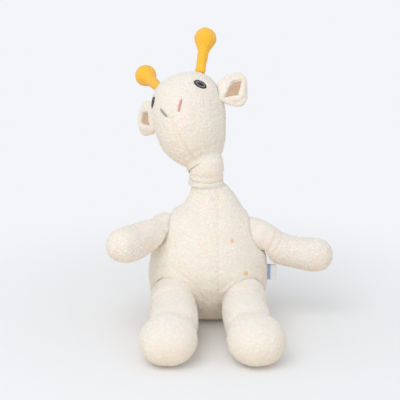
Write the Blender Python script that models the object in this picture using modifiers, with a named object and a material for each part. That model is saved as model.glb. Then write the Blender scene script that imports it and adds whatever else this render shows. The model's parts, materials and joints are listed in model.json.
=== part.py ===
"""A seated plush giraffe: fleece skins round separate stuffing, on sewn joints.

The toy sits on a floor at z = 0 and faces -Y. Its own left is +X. All sizes are
in metres and all angles in degrees. Each skin is a real wall with an opening where
it is sewn to its neighbour, each limb starts in a ball that is seated in the torso,
and the head is a sleeve on the ball at the top of the neck.
"""

import math
from typing import NamedTuple

import bmesh
import bpy
from mathutils import Matrix, Vector

# Fabrics and fits
FLEECE_WALL = 0.0025
FELT_WALL = 0.0012
GAP = 0.0003
OVERRUN = 0.002
MERGE = 0.00001
FLOOR_DIP = 0.0005
FLANK_RELIEF = 0.0060

# Torso, from the flat seat to the top of the neck
TORSO_HEIGHT = 0.150
TORSO_HALF_WIDTH = 0.0605
TORSO_FRONT_DEPTH = 0.050
TORSO_BACK_DEPTH = 0.046
TORSO_SWAY = 0.0035
NECK_RADIUS = 0.0152
NECK_BALL_RISE = 0.008
NECK_LEAN = -0.0020
NECK_WAIST_RADIUS = 0.0146
NECK_MOUTH_RADIUS = 0.0098
TORSO_RING_SHARES = (
    (0.00, 0.48, -0.10, 0.57, 0.0),
    (0.10, 0.92, 0.40, 0.95, 0.0),
    (0.32, 1.02, 1.05, 1.02, 0.0),
    (0.48, 0.95, 1.00, 0.90, 0.0),
    (0.62, 0.70, 0.73, 0.62, 0.1),
    (0.76, 0.34, 0.33, 0.33, 0.8),
    (0.90, 0.06, 0.04, 0.05, 0.5),
    (0.98, -0.02, -0.03, -0.03, -0.5),
)

# Gathered band where the neck meets the head
GATHER_WALL = 0.0017
GATHER_HEIGHT = 0.0040
GATHER_DROP = 0.0142
GATHER_PLEAT_DEPTH = 0.0005
GATHER_PLEATS = 12

# Head, along its own axis from the centre of the neck ball to the crown
HEAD_LENGTH = 0.102
HEAD_HALF_WIDTH = 0.0360
HEAD_FRONT_DEPTH = 0.0435
HEAD_BACK_DEPTH = 0.0345
HEAD_RIM_ANGLE = 75.0
HEAD_ROLL = -27.0
HEAD_YAW = -15.0
HEAD_PITCH = -31.0
HEAD_RING_SHARES = (
    (0.00, -0.29, -0.24, -0.30),
    (0.17, 0.32, 0.74, 0.20),
    (0.33, 0.74, 1.18, 0.60),
    (0.50, 0.96, 1.19, 0.89),
    (0.68, 0.98, 1.02, 1.06),
    (0.84, 0.83, 0.70, 0.91),
    (0.95, 0.28, 0.21, 0.33),
)

# Arms
ARM_LENGTH = 0.066
ARM_ROOT_RADIUS = 0.0185
ARM_WRIST_RADIUS = 0.0140
HAND_RADIUS = 0.0172
HAND_REACH = 0.0170
SHOULDER_HEIGHT = 0.0940
LEFT_SHOULDER_DROP = 0.0045
SHOULDER_OFFSET = -0.0005
ARM_ROOT_ANGLE = 34.0
ARM_HAND_ANGLE = 4.0
RIGHT_ARM_SWING = 56.0
RIGHT_ARM_LIFT = 21.0
ARM_RING_SHARES = (
    (0.00, 1.45),
    (0.35, 0.60),
    (0.75, 0.80),
    (1.00, 1.00),
)

# Legs, with the foot as a ball at the end
LEG_LENGTH = 0.085
LEG_ROOT_RADIUS = 0.0215
LEG_TUBE_RADIUS = 0.0208
FOOT_HALF_WIDTH = 0.0275
FOOT_HALF_HEIGHT = 0.0225
FOOT_REACH = 0.0290
HIP_HEIGHT = 0.034
HIP_SPREAD = 0.0345
HIP_OFFSET = -0.0050
FOOT_REST_SHARE = 0.966
LEFT_LEG_SPLAY = 7.0
RIGHT_LEG_SPLAY = 2.0
LEG_RING_SHARES = (
    (0.00, 0.00, 0.00),
    (0.50, 0.08, 0.05),
    (0.74, 0.22, 0.10),
    (1.00, 1.06, 1.06),
)

# Round end that closes a hand or a foot: reach beyond the last ring, fullness
END_RING_SHARES = (
    (0.55, 0.86),
    (0.88, 0.50),
)

# Opening in a limb's root ball, sewn to the torso
LIMB_MOUTH_SHARE = 0.5
LIMB_BURIED_SHARE = 0.3
HALF_TURN = 180.0

# Horns
HORN_LENGTH = 0.0460
HORN_ROOT_RADIUS = 0.0056
HORN_STEM_RADIUS = 0.0049
HORN_BULB_RADIUS = 0.0110
HORN_SPREAD_SHARE = 0.667
HORN_HEIGHT_SHARE = 0.953
LEFT_HORN_SPLAY = 21.0
RIGHT_HORN_SPLAY = 34.0
HORN_WAIST_ANGLE = 30.0
LEFT_HORN_LEAN = 12.0
RIGHT_HORN_LEAN = 26.0
HORN_MOUTH_ANGLE = 140.0
HORN_STEM_SHARES = (0.58, 0.34)

# Ears
EAR_LENGTH = 0.0250
EAR_HALF_HEIGHT = 0.0178
EAR_HALF_THICKNESS = 0.0050
EAR_ROOT_RADIUS = 0.0042
EAR_ROOT_HALF_LENGTH = 0.0095
EAR_HEIGHT_SHARE = 0.676
EAR_SEAT_DEPTH = 0.0012
EAR_SET_BACK = 0.004
EAR_SWEEP = 20.0
LEFT_EAR_RAISE = -12.0
RIGHT_EAR_RAISE = 30.0
EAR_BOWL_DEPTH = 0.0034
EAR_BOWL_SHARE = 0.74
EAR_BOWL_CENTRE_SHARE = 0.56
EAR_LINING_WALL = 0.0012
EAR_RING_SHARES = (
    (0.00, 0.50, 0.78),
    (0.22, 0.74, 0.92),
    (0.50, 1.06, 1.04),
    (0.80, 1.04, 1.00),
    (0.96, 0.70, 0.66),
)

# Embroidery on the head and the torso
EMBROIDERY_WALL = 0.0008
EYE_HALF_LENGTH = 0.0062
EYE_HALF_HEIGHT = 0.0043
EYE_HEIGHT_SHARE = 0.735
EYE_AZIMUTH = 56.0
EYE_SLANT = 25.0
NOSTRIL_HALF_LENGTH = 0.0072
NOSTRIL_HALF_HEIGHT = 0.0009
NOSTRIL_HEIGHT_SHARE = 0.539
NOSTRIL_AZIMUTH = 15.0
NOSTRIL_SLANT = 62.0
SPOT_RADIUS = 0.0024
BELLY_SPOT_SHARES = (0.620, 0.407)
CHEST_SPOT_SHARES = (0.388, 0.623)
FLANK_SPOT_SHARES = (-0.446, 0.467)
NECK_SPOT_SHARES = (-0.116, 0.914)

# Folded ribbon label in the left side seam
LABEL_LENGTH = 0.0090
LABEL_HALF_HEIGHT = 0.0080
LABEL_HALF_THICKNESS = 0.0012
LABEL_FOLD_GAP = 0.0008
LABEL_HEIGHT = 0.0490

# Where two soft forms graze each other the exact solver loses faces
SOFT_SOLVER = "MANIFOLD"

# Mesh counts
TORSO_SEGMENTS = 12
HEAD_SEGMENTS = 12
LIMB_SEGMENTS = 8
LINING_SEGMENTS = 6
CORE_SEGMENTS = 6
BALL_SEGMENTS = 16
WAD_SEGMENTS = 12
BEND_STEPS = 20
HORN_STEPS = 12
HORN_ARC_STEPS = 4
EDGE_STEPS = 12

# Colours as linear RGB, with roughness
FINISHES = {
    "cream_fleece": ((0.86, 0.80, 0.69), 0.95),
    "polyester_fill": ((0.90, 0.90, 0.88), 0.95),
    "orange_felt": ((0.98, 0.50, 0.045), 0.85),
    "tan_velour": ((0.58, 0.42, 0.29), 0.80),
    "black_thread": ((0.03, 0.025, 0.02), 0.45),
    "pink_thread": ((0.66, 0.32, 0.28), 0.60),
    "orange_thread": ((0.90, 0.40, 0.07), 0.60),
    "yellow_thread": ((0.90, 0.70, 0.30), 0.60),
    "satin_ribbon": ((0.42, 0.52, 0.68), 0.40),
}


class Ring(NamedTuple):
    """One section of a soft form: its centre, its two axes and its reach along them."""

    centre: Vector
    side: Vector
    front: Vector
    half_width: float
    front_depth: float
    back_depth: float


def remove_everything():
    """Empty the scene without closing the file."""
    for thing in list(bpy.data.objects):
        bpy.data.objects.remove(thing, do_unlink=True)


def new_collection(name):
    """Add a named collection to the scene."""
    collection = bpy.data.collections.new(name)
    bpy.context.scene.collection.children.link(collection)
    return collection


remove_everything()
PARTS = new_collection("plush_giraffe")
CUTTERS = new_collection("cutters")


def material(name):
    """Return the named finish as a Principled material, made once."""
    found = bpy.data.materials.get(name)
    if found:
        return found
    colour, roughness = FINISHES[name]
    made = bpy.data.materials.new(name)
    made.use_nodes = True
    shader = made.node_tree.nodes["Principled BSDF"]
    shader.inputs["Base Color"].default_value = (*colour, 1.0)
    shader.inputs["Roughness"].default_value = roughness
    made.diffuse_color = (*colour, 1.0)
    return made


def mesh_object(name, mesh_data, finish=None, parent=None):
    """Place a mesh as a part with a finish, or as a hidden cutter without one."""
    mesh = bpy.data.meshes.new(name)
    mesh_data.to_mesh(mesh)
    mesh_data.free()
    mesh.shade_smooth()
    thing = bpy.data.objects.new(name, mesh)
    thing.parent = parent
    if finish:
        mesh.materials.append(material(finish))
        PARTS.objects.link(thing)
    else:
        CUTTERS.objects.link(thing)
        thing.hide_render = True
        thing.display_type = "WIRE"
    return thing


def pivot(name, matrix, parent=None):
    """Add an empty at a joint, with the rest pose of what hangs from it."""
    empty = bpy.data.objects.new(name, None)
    empty.empty_display_size = NECK_RADIUS
    PARTS.objects.link(empty)
    empty.parent = parent
    empty.matrix_local = matrix
    return empty


def turn(degrees, axis):
    """Rotation about a main axis as a 4 by 4 matrix."""
    return Matrix.Rotation(math.radians(degrees), 4, axis)


def boolean(thing, operation, other, solver="EXACT"):
    """Cut, join or keep the overlap of a piece with another object."""
    change = thing.modifiers.new(f"{operation.lower()} {other.name}", "BOOLEAN")
    change.operation = operation
    change.solver = solver
    change.object = other
    return thing


def cut(thing, *others, solver="EXACT"):
    """Subtract each of the other objects from a piece."""
    for other in others:
        boolean(thing, "DIFFERENCE", other, solver)
    return thing


def clear_radius(radius, segments):
    """Radius of a faceted cutter whose flats stay one gap clear of a round piece."""
    return (radius + GAP) / math.cos(math.pi / segments) ** 2


def inner_radius(radius, segments):
    """Radius of a ball that stays one gap inside the flats of a faceted hollow."""
    return radius * math.cos(math.pi / segments) ** 2 - GAP


def ball_mesh(radius, segments, facet_share=0.5):
    """A sphere as mesh data, turned by half a facet so that its seams miss those of other forms."""
    data = bmesh.new()
    bmesh.ops.create_uvsphere(
        data,
        u_segments=segments,
        v_segments=segments // 2,
        radius=radius,
        matrix=turn(2 * facet_share * HALF_TURN / segments, "Z"),
    )
    return data


def rod_mesh(radius, start, end, segments, axis=None):
    """A capped cylinder between two distances along an axis, which is +Z by default."""
    data = bmesh.new()
    bmesh.ops.create_cone(
        data, cap_ends=True, segments=segments, radius1=radius, radius2=radius, depth=end - start
    )
    bmesh.ops.translate(data, verts=data.verts, vec=(0, 0, (start + end) / 2))
    if axis is not None:
        bmesh.ops.transform(
            data, verts=data.verts, matrix=axis.to_track_quat("Z", "Y").to_matrix().to_4x4()
        )
    return data


def floor_mesh():
    """A slab under the floor that flattens whatever rests on it."""
    data = bmesh.new()
    bmesh.ops.create_cube(data, size=1)
    reach = 2 * (LEG_LENGTH + FOOT_REACH + TORSO_FRONT_DEPTH)
    bmesh.ops.scale(data, verts=data.verts, vec=(reach, 2 * reach, TORSO_HEIGHT))
    bmesh.ops.translate(data, verts=data.verts, vec=(0, 0, -TORSO_HEIGHT / 2))
    return data


def ring_points(ring, segments):
    """Points round a ring, spread so that the subdivided surface has the ring's size."""
    shrink = (2 + math.cos(2 * math.pi / segments)) / 3
    points = []
    for number in range(segments):
        angle = 2 * math.pi * number / segments
        forward = math.sin(angle)
        depth = ring.front_depth if forward > 0 else ring.back_depth
        offset = ring.side * (ring.half_width * math.cos(angle)) + ring.front * (depth * forward)
        points.append(ring.centre + offset / shrink)
    return points


def soft_mesh(rings, first_pole, last_pole, segments):
    """A closed cage through the rings, with a pole at each end."""
    data = bmesh.new()
    loops = [[data.verts.new(point) for point in ring_points(ring, segments)] for ring in rings]
    poles = (data.verts.new(first_pole), data.verts.new(last_pole))
    for number in range(segments):
        following = (number + 1) % segments
        for lower, upper in zip(loops, loops[1:]):
            data.faces.new((lower[number], lower[following], upper[following], upper[number]))
        data.faces.new((poles[0], loops[0][following], loops[0][number]))
        data.faces.new((poles[1], loops[-1][number], loops[-1][following]))
    if data.calc_volume(signed=True) < 0:
        bmesh.ops.reverse_faces(data, faces=data.faces)
    return data


def soften(thing):
    """Round a coarse cage with one level of subdivision."""
    smooth = thing.modifiers.new("soft", "SUBSURF")
    smooth.levels = 1
    smooth.render_levels = 1
    return thing


def between(low, high, share):
    """Value at a share of the way from low to high."""
    return low + share * (high - low)


# Torso


def softened(table):
    """Rows of a table of shares as one level of subdivision leaves their curve."""
    rows = [table[0]]
    for before, row, after in zip(table, table[1:], table[2:]):
        rows.append(tuple(between(low, mid, 0.5) for low, mid in zip(before, row)))
        rows.append(tuple((low + 6 * mid + high) / 8 for low, mid, high in zip(before, row, after)))
    return rows + [table[-1]]


def share_at(rings, share, column):
    """Value of one column of a table of shares, read off the softened form."""
    table = softened(rings)
    for low, high in zip(table, table[1:]):
        if share <= high[0]:
            return between(low[column], high[column], (share - low[0]) / (high[0] - low[0]))
    return table[-1][column]


def torso_half_width(height):
    """Half width of the torso at a height."""
    full = share_at(TORSO_RING_SHARES, height / TORSO_HEIGHT, 1)
    return between(NECK_RADIUS, TORSO_HALF_WIDTH, full)


def torso_middle(height):
    """Sideways place of the torso's middle line at a height."""
    return TORSO_SWAY * share_at(TORSO_RING_SHARES, height / TORSO_HEIGHT, 4)


def torso_front(across, height):
    """Distance to the front of the torso at a place across it and a height."""
    full = share_at(TORSO_RING_SHARES, height / TORSO_HEIGHT, 2)
    depth = between(NECK_RADIUS, TORSO_FRONT_DEPTH, full)
    offset = (across - torso_middle(height)) / torso_half_width(height)
    return depth * math.sqrt(max(0, 1 - offset ** 2))


def torso_form(name, inset, segments, finish=None):
    """The pear of the torso, smaller by an inset on every side."""
    side, front = Vector((1, 0, 0)), Vector((0, -1, 0))
    rings = []
    for height_share, width_share, front_share, back_share, sway_share in TORSO_RING_SHARES:
        height = between(inset - FLOOR_DIP, TORSO_HEIGHT, height_share)
        rings.append(
            Ring(
                Vector((TORSO_SWAY * sway_share, 0, height)),
                side,
                front,
                between(NECK_RADIUS, TORSO_HALF_WIDTH, width_share) - inset,
                between(NECK_RADIUS, TORSO_FRONT_DEPTH, front_share) - inset,
                between(NECK_RADIUS, TORSO_BACK_DEPTH, back_share) - inset,
            )
        )
    poles = Vector((0, 0, inset - FLOOR_DIP)), Vector((NECK_LEAN, 0, TORSO_HEIGHT - inset))
    return soften(mesh_object(name, soft_mesh(rings, *poles, segments), finish))


NECK_BALL = Vector((NECK_LEAN, 0, TORSO_HEIGHT + NECK_BALL_RISE))
NECK = pivot("neck_pivot", Matrix.Translation(NECK_BALL))
HEAD = pivot("head_pivot", turn(HEAD_ROLL, "Y") @ turn(HEAD_YAW, "Z") @ turn(HEAD_PITCH, "X"), NECK)
SLEEVE_INNER_RADIUS = clear_radius(NECK_RADIUS, BALL_SEGMENTS)
SLEEVE_RADIUS = SLEEVE_INNER_RADIUS + FLEECE_WALL


def side_sign(side):
    """+1 on the toy's left, which is +X, and -1 on its right."""
    return 1 if side == "left" else -1


def shoulder_matrix(side):
    """Rest pose of an arm, whose own +X runs out along the arm."""
    height = SHOULDER_HEIGHT - LEFT_SHOULDER_DROP if side == "left" else SHOULDER_HEIGHT
    reach = torso_half_width(height) + SHOULDER_OFFSET
    place = Matrix.Translation((side_sign(side) * reach, 0, height))
    if side == "left":
        return place
    return place @ turn(HALF_TURN + RIGHT_ARM_SWING, "Z") @ turn(-RIGHT_ARM_LIFT, "Y")


def hip_matrix(side):
    """Rest pose of a leg, whose own -Y runs out along the leg until its foot is on the floor."""
    sign = side_sign(side)
    splay = LEFT_LEG_SPLAY if side == "left" else RIGHT_LEG_SPLAY
    drop = HIP_HEIGHT + FLOOR_DIP - FOOT_REST_SHARE * FOOT_HALF_HEIGHT
    fall = math.degrees(math.asin(drop / LEG_LENGTH))
    forward = torso_front(HIP_SPREAD, HIP_HEIGHT) + HIP_OFFSET
    place = Vector((sign * HIP_SPREAD, -forward, HIP_HEIGHT))
    return Matrix.Translation(place) @ turn(sign * splay, "Z") @ turn(fall, "X")


def limb_ball(name, matrix, radius, segments):
    """A ball cutter at a limb's joint, clear of the limb's root."""
    cutter = mesh_object(name, ball_mesh(clear_radius(radius, segments), segments))
    cutter.matrix_world = Matrix.Translation(matrix.to_translation())
    return cutter


FLOOR = mesh_object("floor_cutter", floor_mesh())
SIDES = ("left", "right")
SHOULDER_SOCKETS = [
    limb_ball(f"{side}_shoulder_socket", shoulder_matrix(side), ARM_ROOT_RADIUS, BALL_SEGMENTS)
    for side in SIDES
]
HIP_SOCKETS = [
    limb_ball(f"{side}_hip_socket", hip_matrix(side), LEG_ROOT_RADIUS, BALL_SEGMENTS)
    for side in SIDES
]


def torso_pieces():
    """The torso's skin and its stuffing, with a seat for each limb and a mouth at the neck."""
    ball = mesh_object("neck_ball_form", ball_mesh(NECK_RADIUS, BALL_SEGMENTS), parent=NECK)
    hollow = mesh_object(
        "neck_ball_hollow", ball_mesh(NECK_RADIUS - FLEECE_WALL, BALL_SEGMENTS), parent=NECK
    )
    mouth = mesh_object(
        "neck_mouth_cutter",
        rod_mesh(NECK_MOUTH_RADIUS, 0, NECK_RADIUS + OVERRUN, BALL_SEGMENTS),
        parent=NECK,
    )
    cavity = torso_form("torso_cavity", FLEECE_WALL, LINING_SEGMENTS)
    boolean(cavity, "UNION", hollow, SOFT_SOLVER)
    skin = torso_form("torso_skin", 0, TORSO_SEGMENTS, "cream_fleece")
    boolean(skin, "UNION", ball, SOFT_SOLVER)
    cut(skin, cavity, mouth, FLOOR, waist_groove(), solver=SOFT_SOLVER)
    stuffing = torso_form("torso_stuffing", FLEECE_WALL + GAP, LINING_SEGMENTS, "polyester_fill")
    neck_fill = mesh_object("neck_fill_cutter", ball_mesh(NECK_RADIUS, WAD_SEGMENTS), parent=NECK)
    cut(stuffing, neck_fill, solver=SOFT_SOLVER)
    for piece in (skin, stuffing):
        cut(piece, *SHOULDER_SOCKETS, *HIP_SOCKETS, solver=SOFT_SOLVER)


def waist_groove():
    """The ring-shaped seat that the gathered band needs round the neck."""
    low = -GATHER_DROP - GATHER_HEIGHT / 2 - GAP
    high = -low - 2 * GATHER_DROP
    groove = rod_mesh(NECK_RADIUS + GATHER_WALL + OVERRUN, low, high, BALL_SEGMENTS)
    thing = mesh_object("neck_waist_groove", groove, parent=NECK)
    core = rod_mesh(NECK_WAIST_RADIUS, low - OVERRUN, high + OVERRUN, BALL_SEGMENTS)
    return cut(thing, mesh_object("neck_waist_form", core, parent=NECK))


def gather_bore(margin, low, high):
    """The round waist of the neck under the gathered band, larger by a margin."""
    facet = math.cos(math.pi / BALL_SEGMENTS)
    return rod_mesh((NECK_WAIST_RADIUS + margin) / facet, low - OVERRUN, high + OVERRUN, BALL_SEGMENTS)


def neck_pieces():
    """The gathered band round the neck and the firm ball of stuffing above it."""
    wad = inner_radius(NECK_RADIUS - FLEECE_WALL, BALL_SEGMENTS)
    mesh_object("neck_stuffing", ball_mesh(wad, BALL_SEGMENTS, 0), "polyester_fill", NECK)
    low = -GATHER_DROP - GATHER_HEIGHT / 2
    high = low + GATHER_HEIGHT
    radius = NECK_RADIUS + GATHER_WALL
    data = rod_mesh(radius, low, high, 2 * GATHER_PLEATS)
    for vertex in data.verts:
        step = round(math.atan2(vertex.co.y, vertex.co.x) * GATHER_PLEATS / math.pi)
        if step % 2:
            vertex.co.xy *= 1 - GATHER_PLEAT_DEPTH / radius
    band = mesh_object("neck_gather", data, "cream_fleece", NECK)
    edge = band.modifiers.new("rolled edge", "BEVEL")
    edge.width = GATHER_WALL / 3
    edge.segments = 1
    cut(band, mesh_object("neck_gather_bore", gather_bore(GAP, low, high), parent=NECK))


# Head


def head_shares(height, column):
    """Fullness of the head in one direction at a height above the neck ball's centre."""
    return share_at(HEAD_RING_SHARES, height / HEAD_LENGTH, column)


def head_point(azimuth, height):
    """Point on the head's surface at an angle from the front, and its outward direction."""
    width = between(SLEEVE_RADIUS, HEAD_HALF_WIDTH, head_shares(height, 1))
    depth = between(SLEEVE_RADIUS, HEAD_FRONT_DEPTH, head_shares(height, 2))
    angle = math.radians(azimuth)
    point = Vector((width * math.sin(angle), -depth * math.cos(angle), height))
    outward = Vector((math.sin(angle) / width, -math.cos(angle) / depth, 0)).normalized()
    return point, outward


def head_form(name, inset, segments, finish=None):
    """The egg of the head, smaller by an inset on every side."""
    side, front = Vector((1, 0, 0)), Vector((0, -1, 0))
    rings = []
    for height_share, width_share, front_share, back_share in HEAD_RING_SHARES:
        rings.append(
            Ring(
                Vector((0, 0, height_share * (HEAD_LENGTH - inset))),
                side,
                front,
                between(SLEEVE_RADIUS, HEAD_HALF_WIDTH, width_share) - inset,
                between(SLEEVE_RADIUS, HEAD_FRONT_DEPTH, front_share) - inset,
                between(SLEEVE_RADIUS, HEAD_BACK_DEPTH, back_share) - inset,
            )
        )
    poles = Vector((0, 0, 0)), Vector((0, 0, HEAD_LENGTH - inset))
    return soften(mesh_object(name, soft_mesh(rings, *poles, segments), finish, HEAD))


def horn_matrix(side):
    """Place and lean of a horn on the head."""
    sign = side_sign(side)
    spread = HORN_SPREAD_SHARE * HEAD_HALF_WIDTH
    place = Matrix.Translation((sign * spread, 0, HORN_HEIGHT_SHARE * HEAD_LENGTH))
    left = side == "left"
    splay = LEFT_HORN_SPLAY if left else RIGHT_HORN_SPLAY
    lean = LEFT_HORN_LEAN if left else RIGHT_HORN_LEAN
    return place @ turn(sign * splay, "Y") @ turn(-lean, "X")


def ear_matrix(side):
    """Place of an ear's hinge on the side of the head."""
    sign = side_sign(side)
    raised = LEFT_EAR_RAISE if side == "left" else RIGHT_EAR_RAISE
    height = EAR_HEIGHT_SHARE * HEAD_LENGTH
    width = between(SLEEVE_RADIUS, HEAD_HALF_WIDTH, head_shares(height, 1))
    reach = width + EAR_ROOT_RADIUS + GAP - EAR_SEAT_DEPTH
    place = Matrix.Translation((sign * reach, EAR_SET_BACK, height))
    return place @ turn(sign * EAR_SWEEP, "Z") @ turn(-sign * raised, "Y")


def head_pieces():
    """The head's skin and stuffing, sleeved over the neck ball."""
    rim_height = SLEEVE_RADIUS * math.cos(math.radians(HEAD_RIM_ANGLE))
    reach = HEAD_FRONT_DEPTH + HEAD_HALF_WIDTH
    below = mesh_object("head_rim_cutter", rod_mesh(reach, -reach, rim_height, WAD_SEGMENTS), parent=HEAD)
    socket = mesh_object("head_sleeve_cutter", ball_mesh(SLEEVE_INNER_RADIUS, BALL_SEGMENTS), parent=HEAD)
    seats = []
    for side in SIDES:
        horn_seat = mesh_object(
            f"{side}_horn_seat",
            ball_mesh(clear_radius(HORN_ROOT_RADIUS, HORN_STEPS), HORN_STEPS),
            parent=HEAD,
        )
        horn_seat.matrix_local = horn_matrix(side)
        groove_radius = (EAR_ROOT_RADIUS + GAP) / math.cos(math.pi / EDGE_STEPS)
        half_length = EAR_ROOT_HALF_LENGTH + GAP
        groove = mesh_object(
            f"{side}_ear_groove",
            rod_mesh(groove_radius, -half_length, half_length, EDGE_STEPS),
            parent=HEAD,
        )
        groove.matrix_local = ear_matrix(side)
        seats += [horn_seat, groove]
    sleeve = mesh_object("head_sleeve_form", ball_mesh(SLEEVE_RADIUS, BALL_SEGMENTS), parent=HEAD)
    cavity = head_form("head_cavity", FLEECE_WALL, LINING_SEGMENTS)
    skin = head_form("head_skin", 0, HEAD_SEGMENTS, "cream_fleece")
    boolean(skin, "UNION", sleeve, SOFT_SOLVER)
    cut(skin, cavity, socket, below, *seats, solver=SOFT_SOLVER)
    stuffing = head_form("head_stuffing", FLEECE_WALL + GAP, LINING_SEGMENTS, "polyester_fill")
    cut(stuffing, socket, below, *seats, solver=SOFT_SOLVER)


# Embroidery


def patch(name, finish, matrix, half_length, half_height, far, near, parent=None):
    """A thin oval of stitches that follows the surface between two offset forms."""
    reach = 2 * half_length + OVERRUN
    data = rod_mesh(1, -reach, reach, EDGE_STEPS)
    bmesh.ops.scale(data, verts=data.verts, vec=(half_length, half_height, 1))
    thing = mesh_object(name, data, finish, parent)
    thing.matrix_local = matrix
    boolean(thing, "INTERSECT", far)
    return cut(thing, near)


def facing(point, outward, slant):
    """Matrix at a point whose +Z looks outward, with its X axis level and then slanted."""
    across = Vector((0, 0, 1)).cross(outward).normalized()
    upward = outward.cross(across)
    basis = Matrix((across, upward, outward)).transposed().to_4x4()
    return Matrix.Translation(point) @ basis @ turn(slant, "Z")


def face_pieces():
    """Eyes and nostrils, stitched on the head."""
    far = head_form("head_stitch_top", -GAP - EMBROIDERY_WALL, HEAD_SEGMENTS)
    near = head_form("head_stitch_base", -GAP, HEAD_SEGMENTS)
    for side in SIDES:
        sign = side_sign(side)
        eye_point = head_point(sign * EYE_AZIMUTH, EYE_HEIGHT_SHARE * HEAD_LENGTH)
        eye = facing(*eye_point, -sign * EYE_SLANT)
        patch(f"{side}_eye", "black_thread", eye, EYE_HALF_LENGTH, EYE_HALF_HEIGHT, far, near, HEAD)
        nostril_point = head_point(sign * NOSTRIL_AZIMUTH, NOSTRIL_HEIGHT_SHARE * HEAD_LENGTH)
        nostril = facing(*nostril_point, sign * NOSTRIL_SLANT)
        patch(
            f"{side}_nostril",
            "pink_thread",
            nostril,
            NOSTRIL_HALF_LENGTH,
            NOSTRIL_HALF_HEIGHT,
            far,
            near,
            HEAD,
        )


def spot_pieces():
    """The little embroidered spots down the front of the torso."""
    far = torso_form("torso_stitch_top", -GAP - EMBROIDERY_WALL, TORSO_SEGMENTS)
    near = torso_form("torso_stitch_base", -GAP, TORSO_SEGMENTS)
    spots = (
        ("belly_spot", "orange_thread", BELLY_SPOT_SHARES),
        ("chest_spot", "orange_thread", CHEST_SPOT_SHARES),
        ("flank_spot", "yellow_thread", FLANK_SPOT_SHARES),
        ("neck_spot", "yellow_thread", NECK_SPOT_SHARES),
    )
    for name, finish, (across_share, height_share) in spots:
        across, height = across_share * TORSO_HALF_WIDTH, height_share * TORSO_HEIGHT
        forward = torso_front(across, height)
        offset = across - torso_middle(height)
        depth = torso_front(torso_middle(height), height)
        outward = Vector((offset / torso_half_width(height) ** 2, -forward / depth ** 2, 0)).normalized()
        place = facing(Vector((across, -forward, height)), outward, 0)
        patch(name, finish, place, SPOT_RADIUS, SPOT_RADIUS, far, near)


# Horns


def horn_profile(inset):
    """Half outline of a horn from its tip down to its open root, as (radius, height)."""
    bulb = HORN_BULB_RADIUS - inset
    centre = HORN_LENGTH - HORN_BULB_RADIUS
    stem = HORN_STEM_RADIUS - inset
    root = HORN_ROOT_RADIUS - inset
    quarter = HALF_TURN / 2
    points = []
    for number in range(HORN_ARC_STEPS + 1):
        angle = math.radians(quarter - number * (quarter + HORN_WAIST_ANGLE) / HORN_ARC_STEPS)
        points.append((bulb * math.cos(angle), centre + bulb * math.sin(angle)))
    for share in HORN_STEM_SHARES:
        points.append((stem, share * centre))
    start = math.asin(stem / root)
    end = math.radians(HORN_MOUTH_ANGLE)
    for number in range(HORN_ARC_STEPS + 1):
        polar = between(start, end, number / HORN_ARC_STEPS)
        points.append((root * math.sin(polar), root * math.cos(polar)))
    return points


def turned(name, points, finish, parent):
    """Turn a half outline, listed from top to bottom, about the piece's own Z axis."""
    data = bmesh.new()
    corners = [data.verts.new((radius, 0, height)) for radius, height in points]
    for upper, lower in zip(corners, corners[1:]):
        data.edges.new((upper, lower))
    thing = mesh_object(name, data, finish, parent)
    screw = thing.modifiers.new("turned", "SCREW")
    screw.steps = HORN_STEPS
    screw.render_steps = HORN_STEPS
    screw.use_merge_vertices = True
    screw.merge_threshold = MERGE
    return thing


def horn_pieces(side):
    """A felt horn with a ball at its tip, open at its root, round its stuffing."""
    frame = pivot(f"{side}_horn_pivot", horn_matrix(side), HEAD)
    skin = turned(f"{side}_horn_skin", tip_to_axis(horn_profile(0)), "orange_felt", frame)
    wall = skin.modifiers.new("felt", "SOLIDIFY")
    wall.thickness = FELT_WALL
    wall.offset = -1
    points = horn_profile(FELT_WALL + GAP)
    points.append((0, points[-1][1]))
    turned(f"{side}_horn_stuffing", tip_to_axis(points), "polyester_fill", frame)


def tip_to_axis(points):
    """Put the first point of a turned outline exactly on its axis."""
    return [(0, points[0][1])] + points[1:]


# Ears


def ear_form(name, side, inset, segments, finish, parent):
    """The flat leaf of an ear, standing out from its hinge."""
    sign = side_sign(side)
    up, front = Vector((0, 0, 1)), Vector((0, -1, 0))
    rings = []
    for length_share, height_share, thickness_share in EAR_RING_SHARES:
        thickness = thickness_share * EAR_HALF_THICKNESS - inset
        rings.append(
            Ring(
                Vector((sign * length_share * (EAR_LENGTH - inset), 0, 0)),
                up,
                front,
                height_share * EAR_HALF_HEIGHT - inset,
                thickness,
                thickness,
            )
        )
    poles = Vector((0, 0, 0)), Vector((sign * (EAR_LENGTH - inset), 0, 0))
    return soften(mesh_object(name, soft_mesh(rings, *poles, segments), finish, parent))


def ear_bowl(name, side, inset, finish, parent):
    """The oval that hollows the front of an ear, smaller by an inset."""
    data = ball_mesh(1, BALL_SEGMENTS)
    size = (
        EAR_BOWL_SHARE * EAR_LENGTH / 2 - inset,
        EAR_BOWL_DEPTH - inset,
        EAR_BOWL_SHARE * EAR_HALF_HEIGHT - inset,
    )
    place = (side_sign(side) * EAR_LENGTH * EAR_BOWL_CENTRE_SHARE, -EAR_HALF_THICKNESS, 0)
    bmesh.ops.scale(data, verts=data.verts, vec=size)
    bmesh.ops.translate(data, verts=data.verts, vec=place)
    return mesh_object(name, data, finish, parent)


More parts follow.
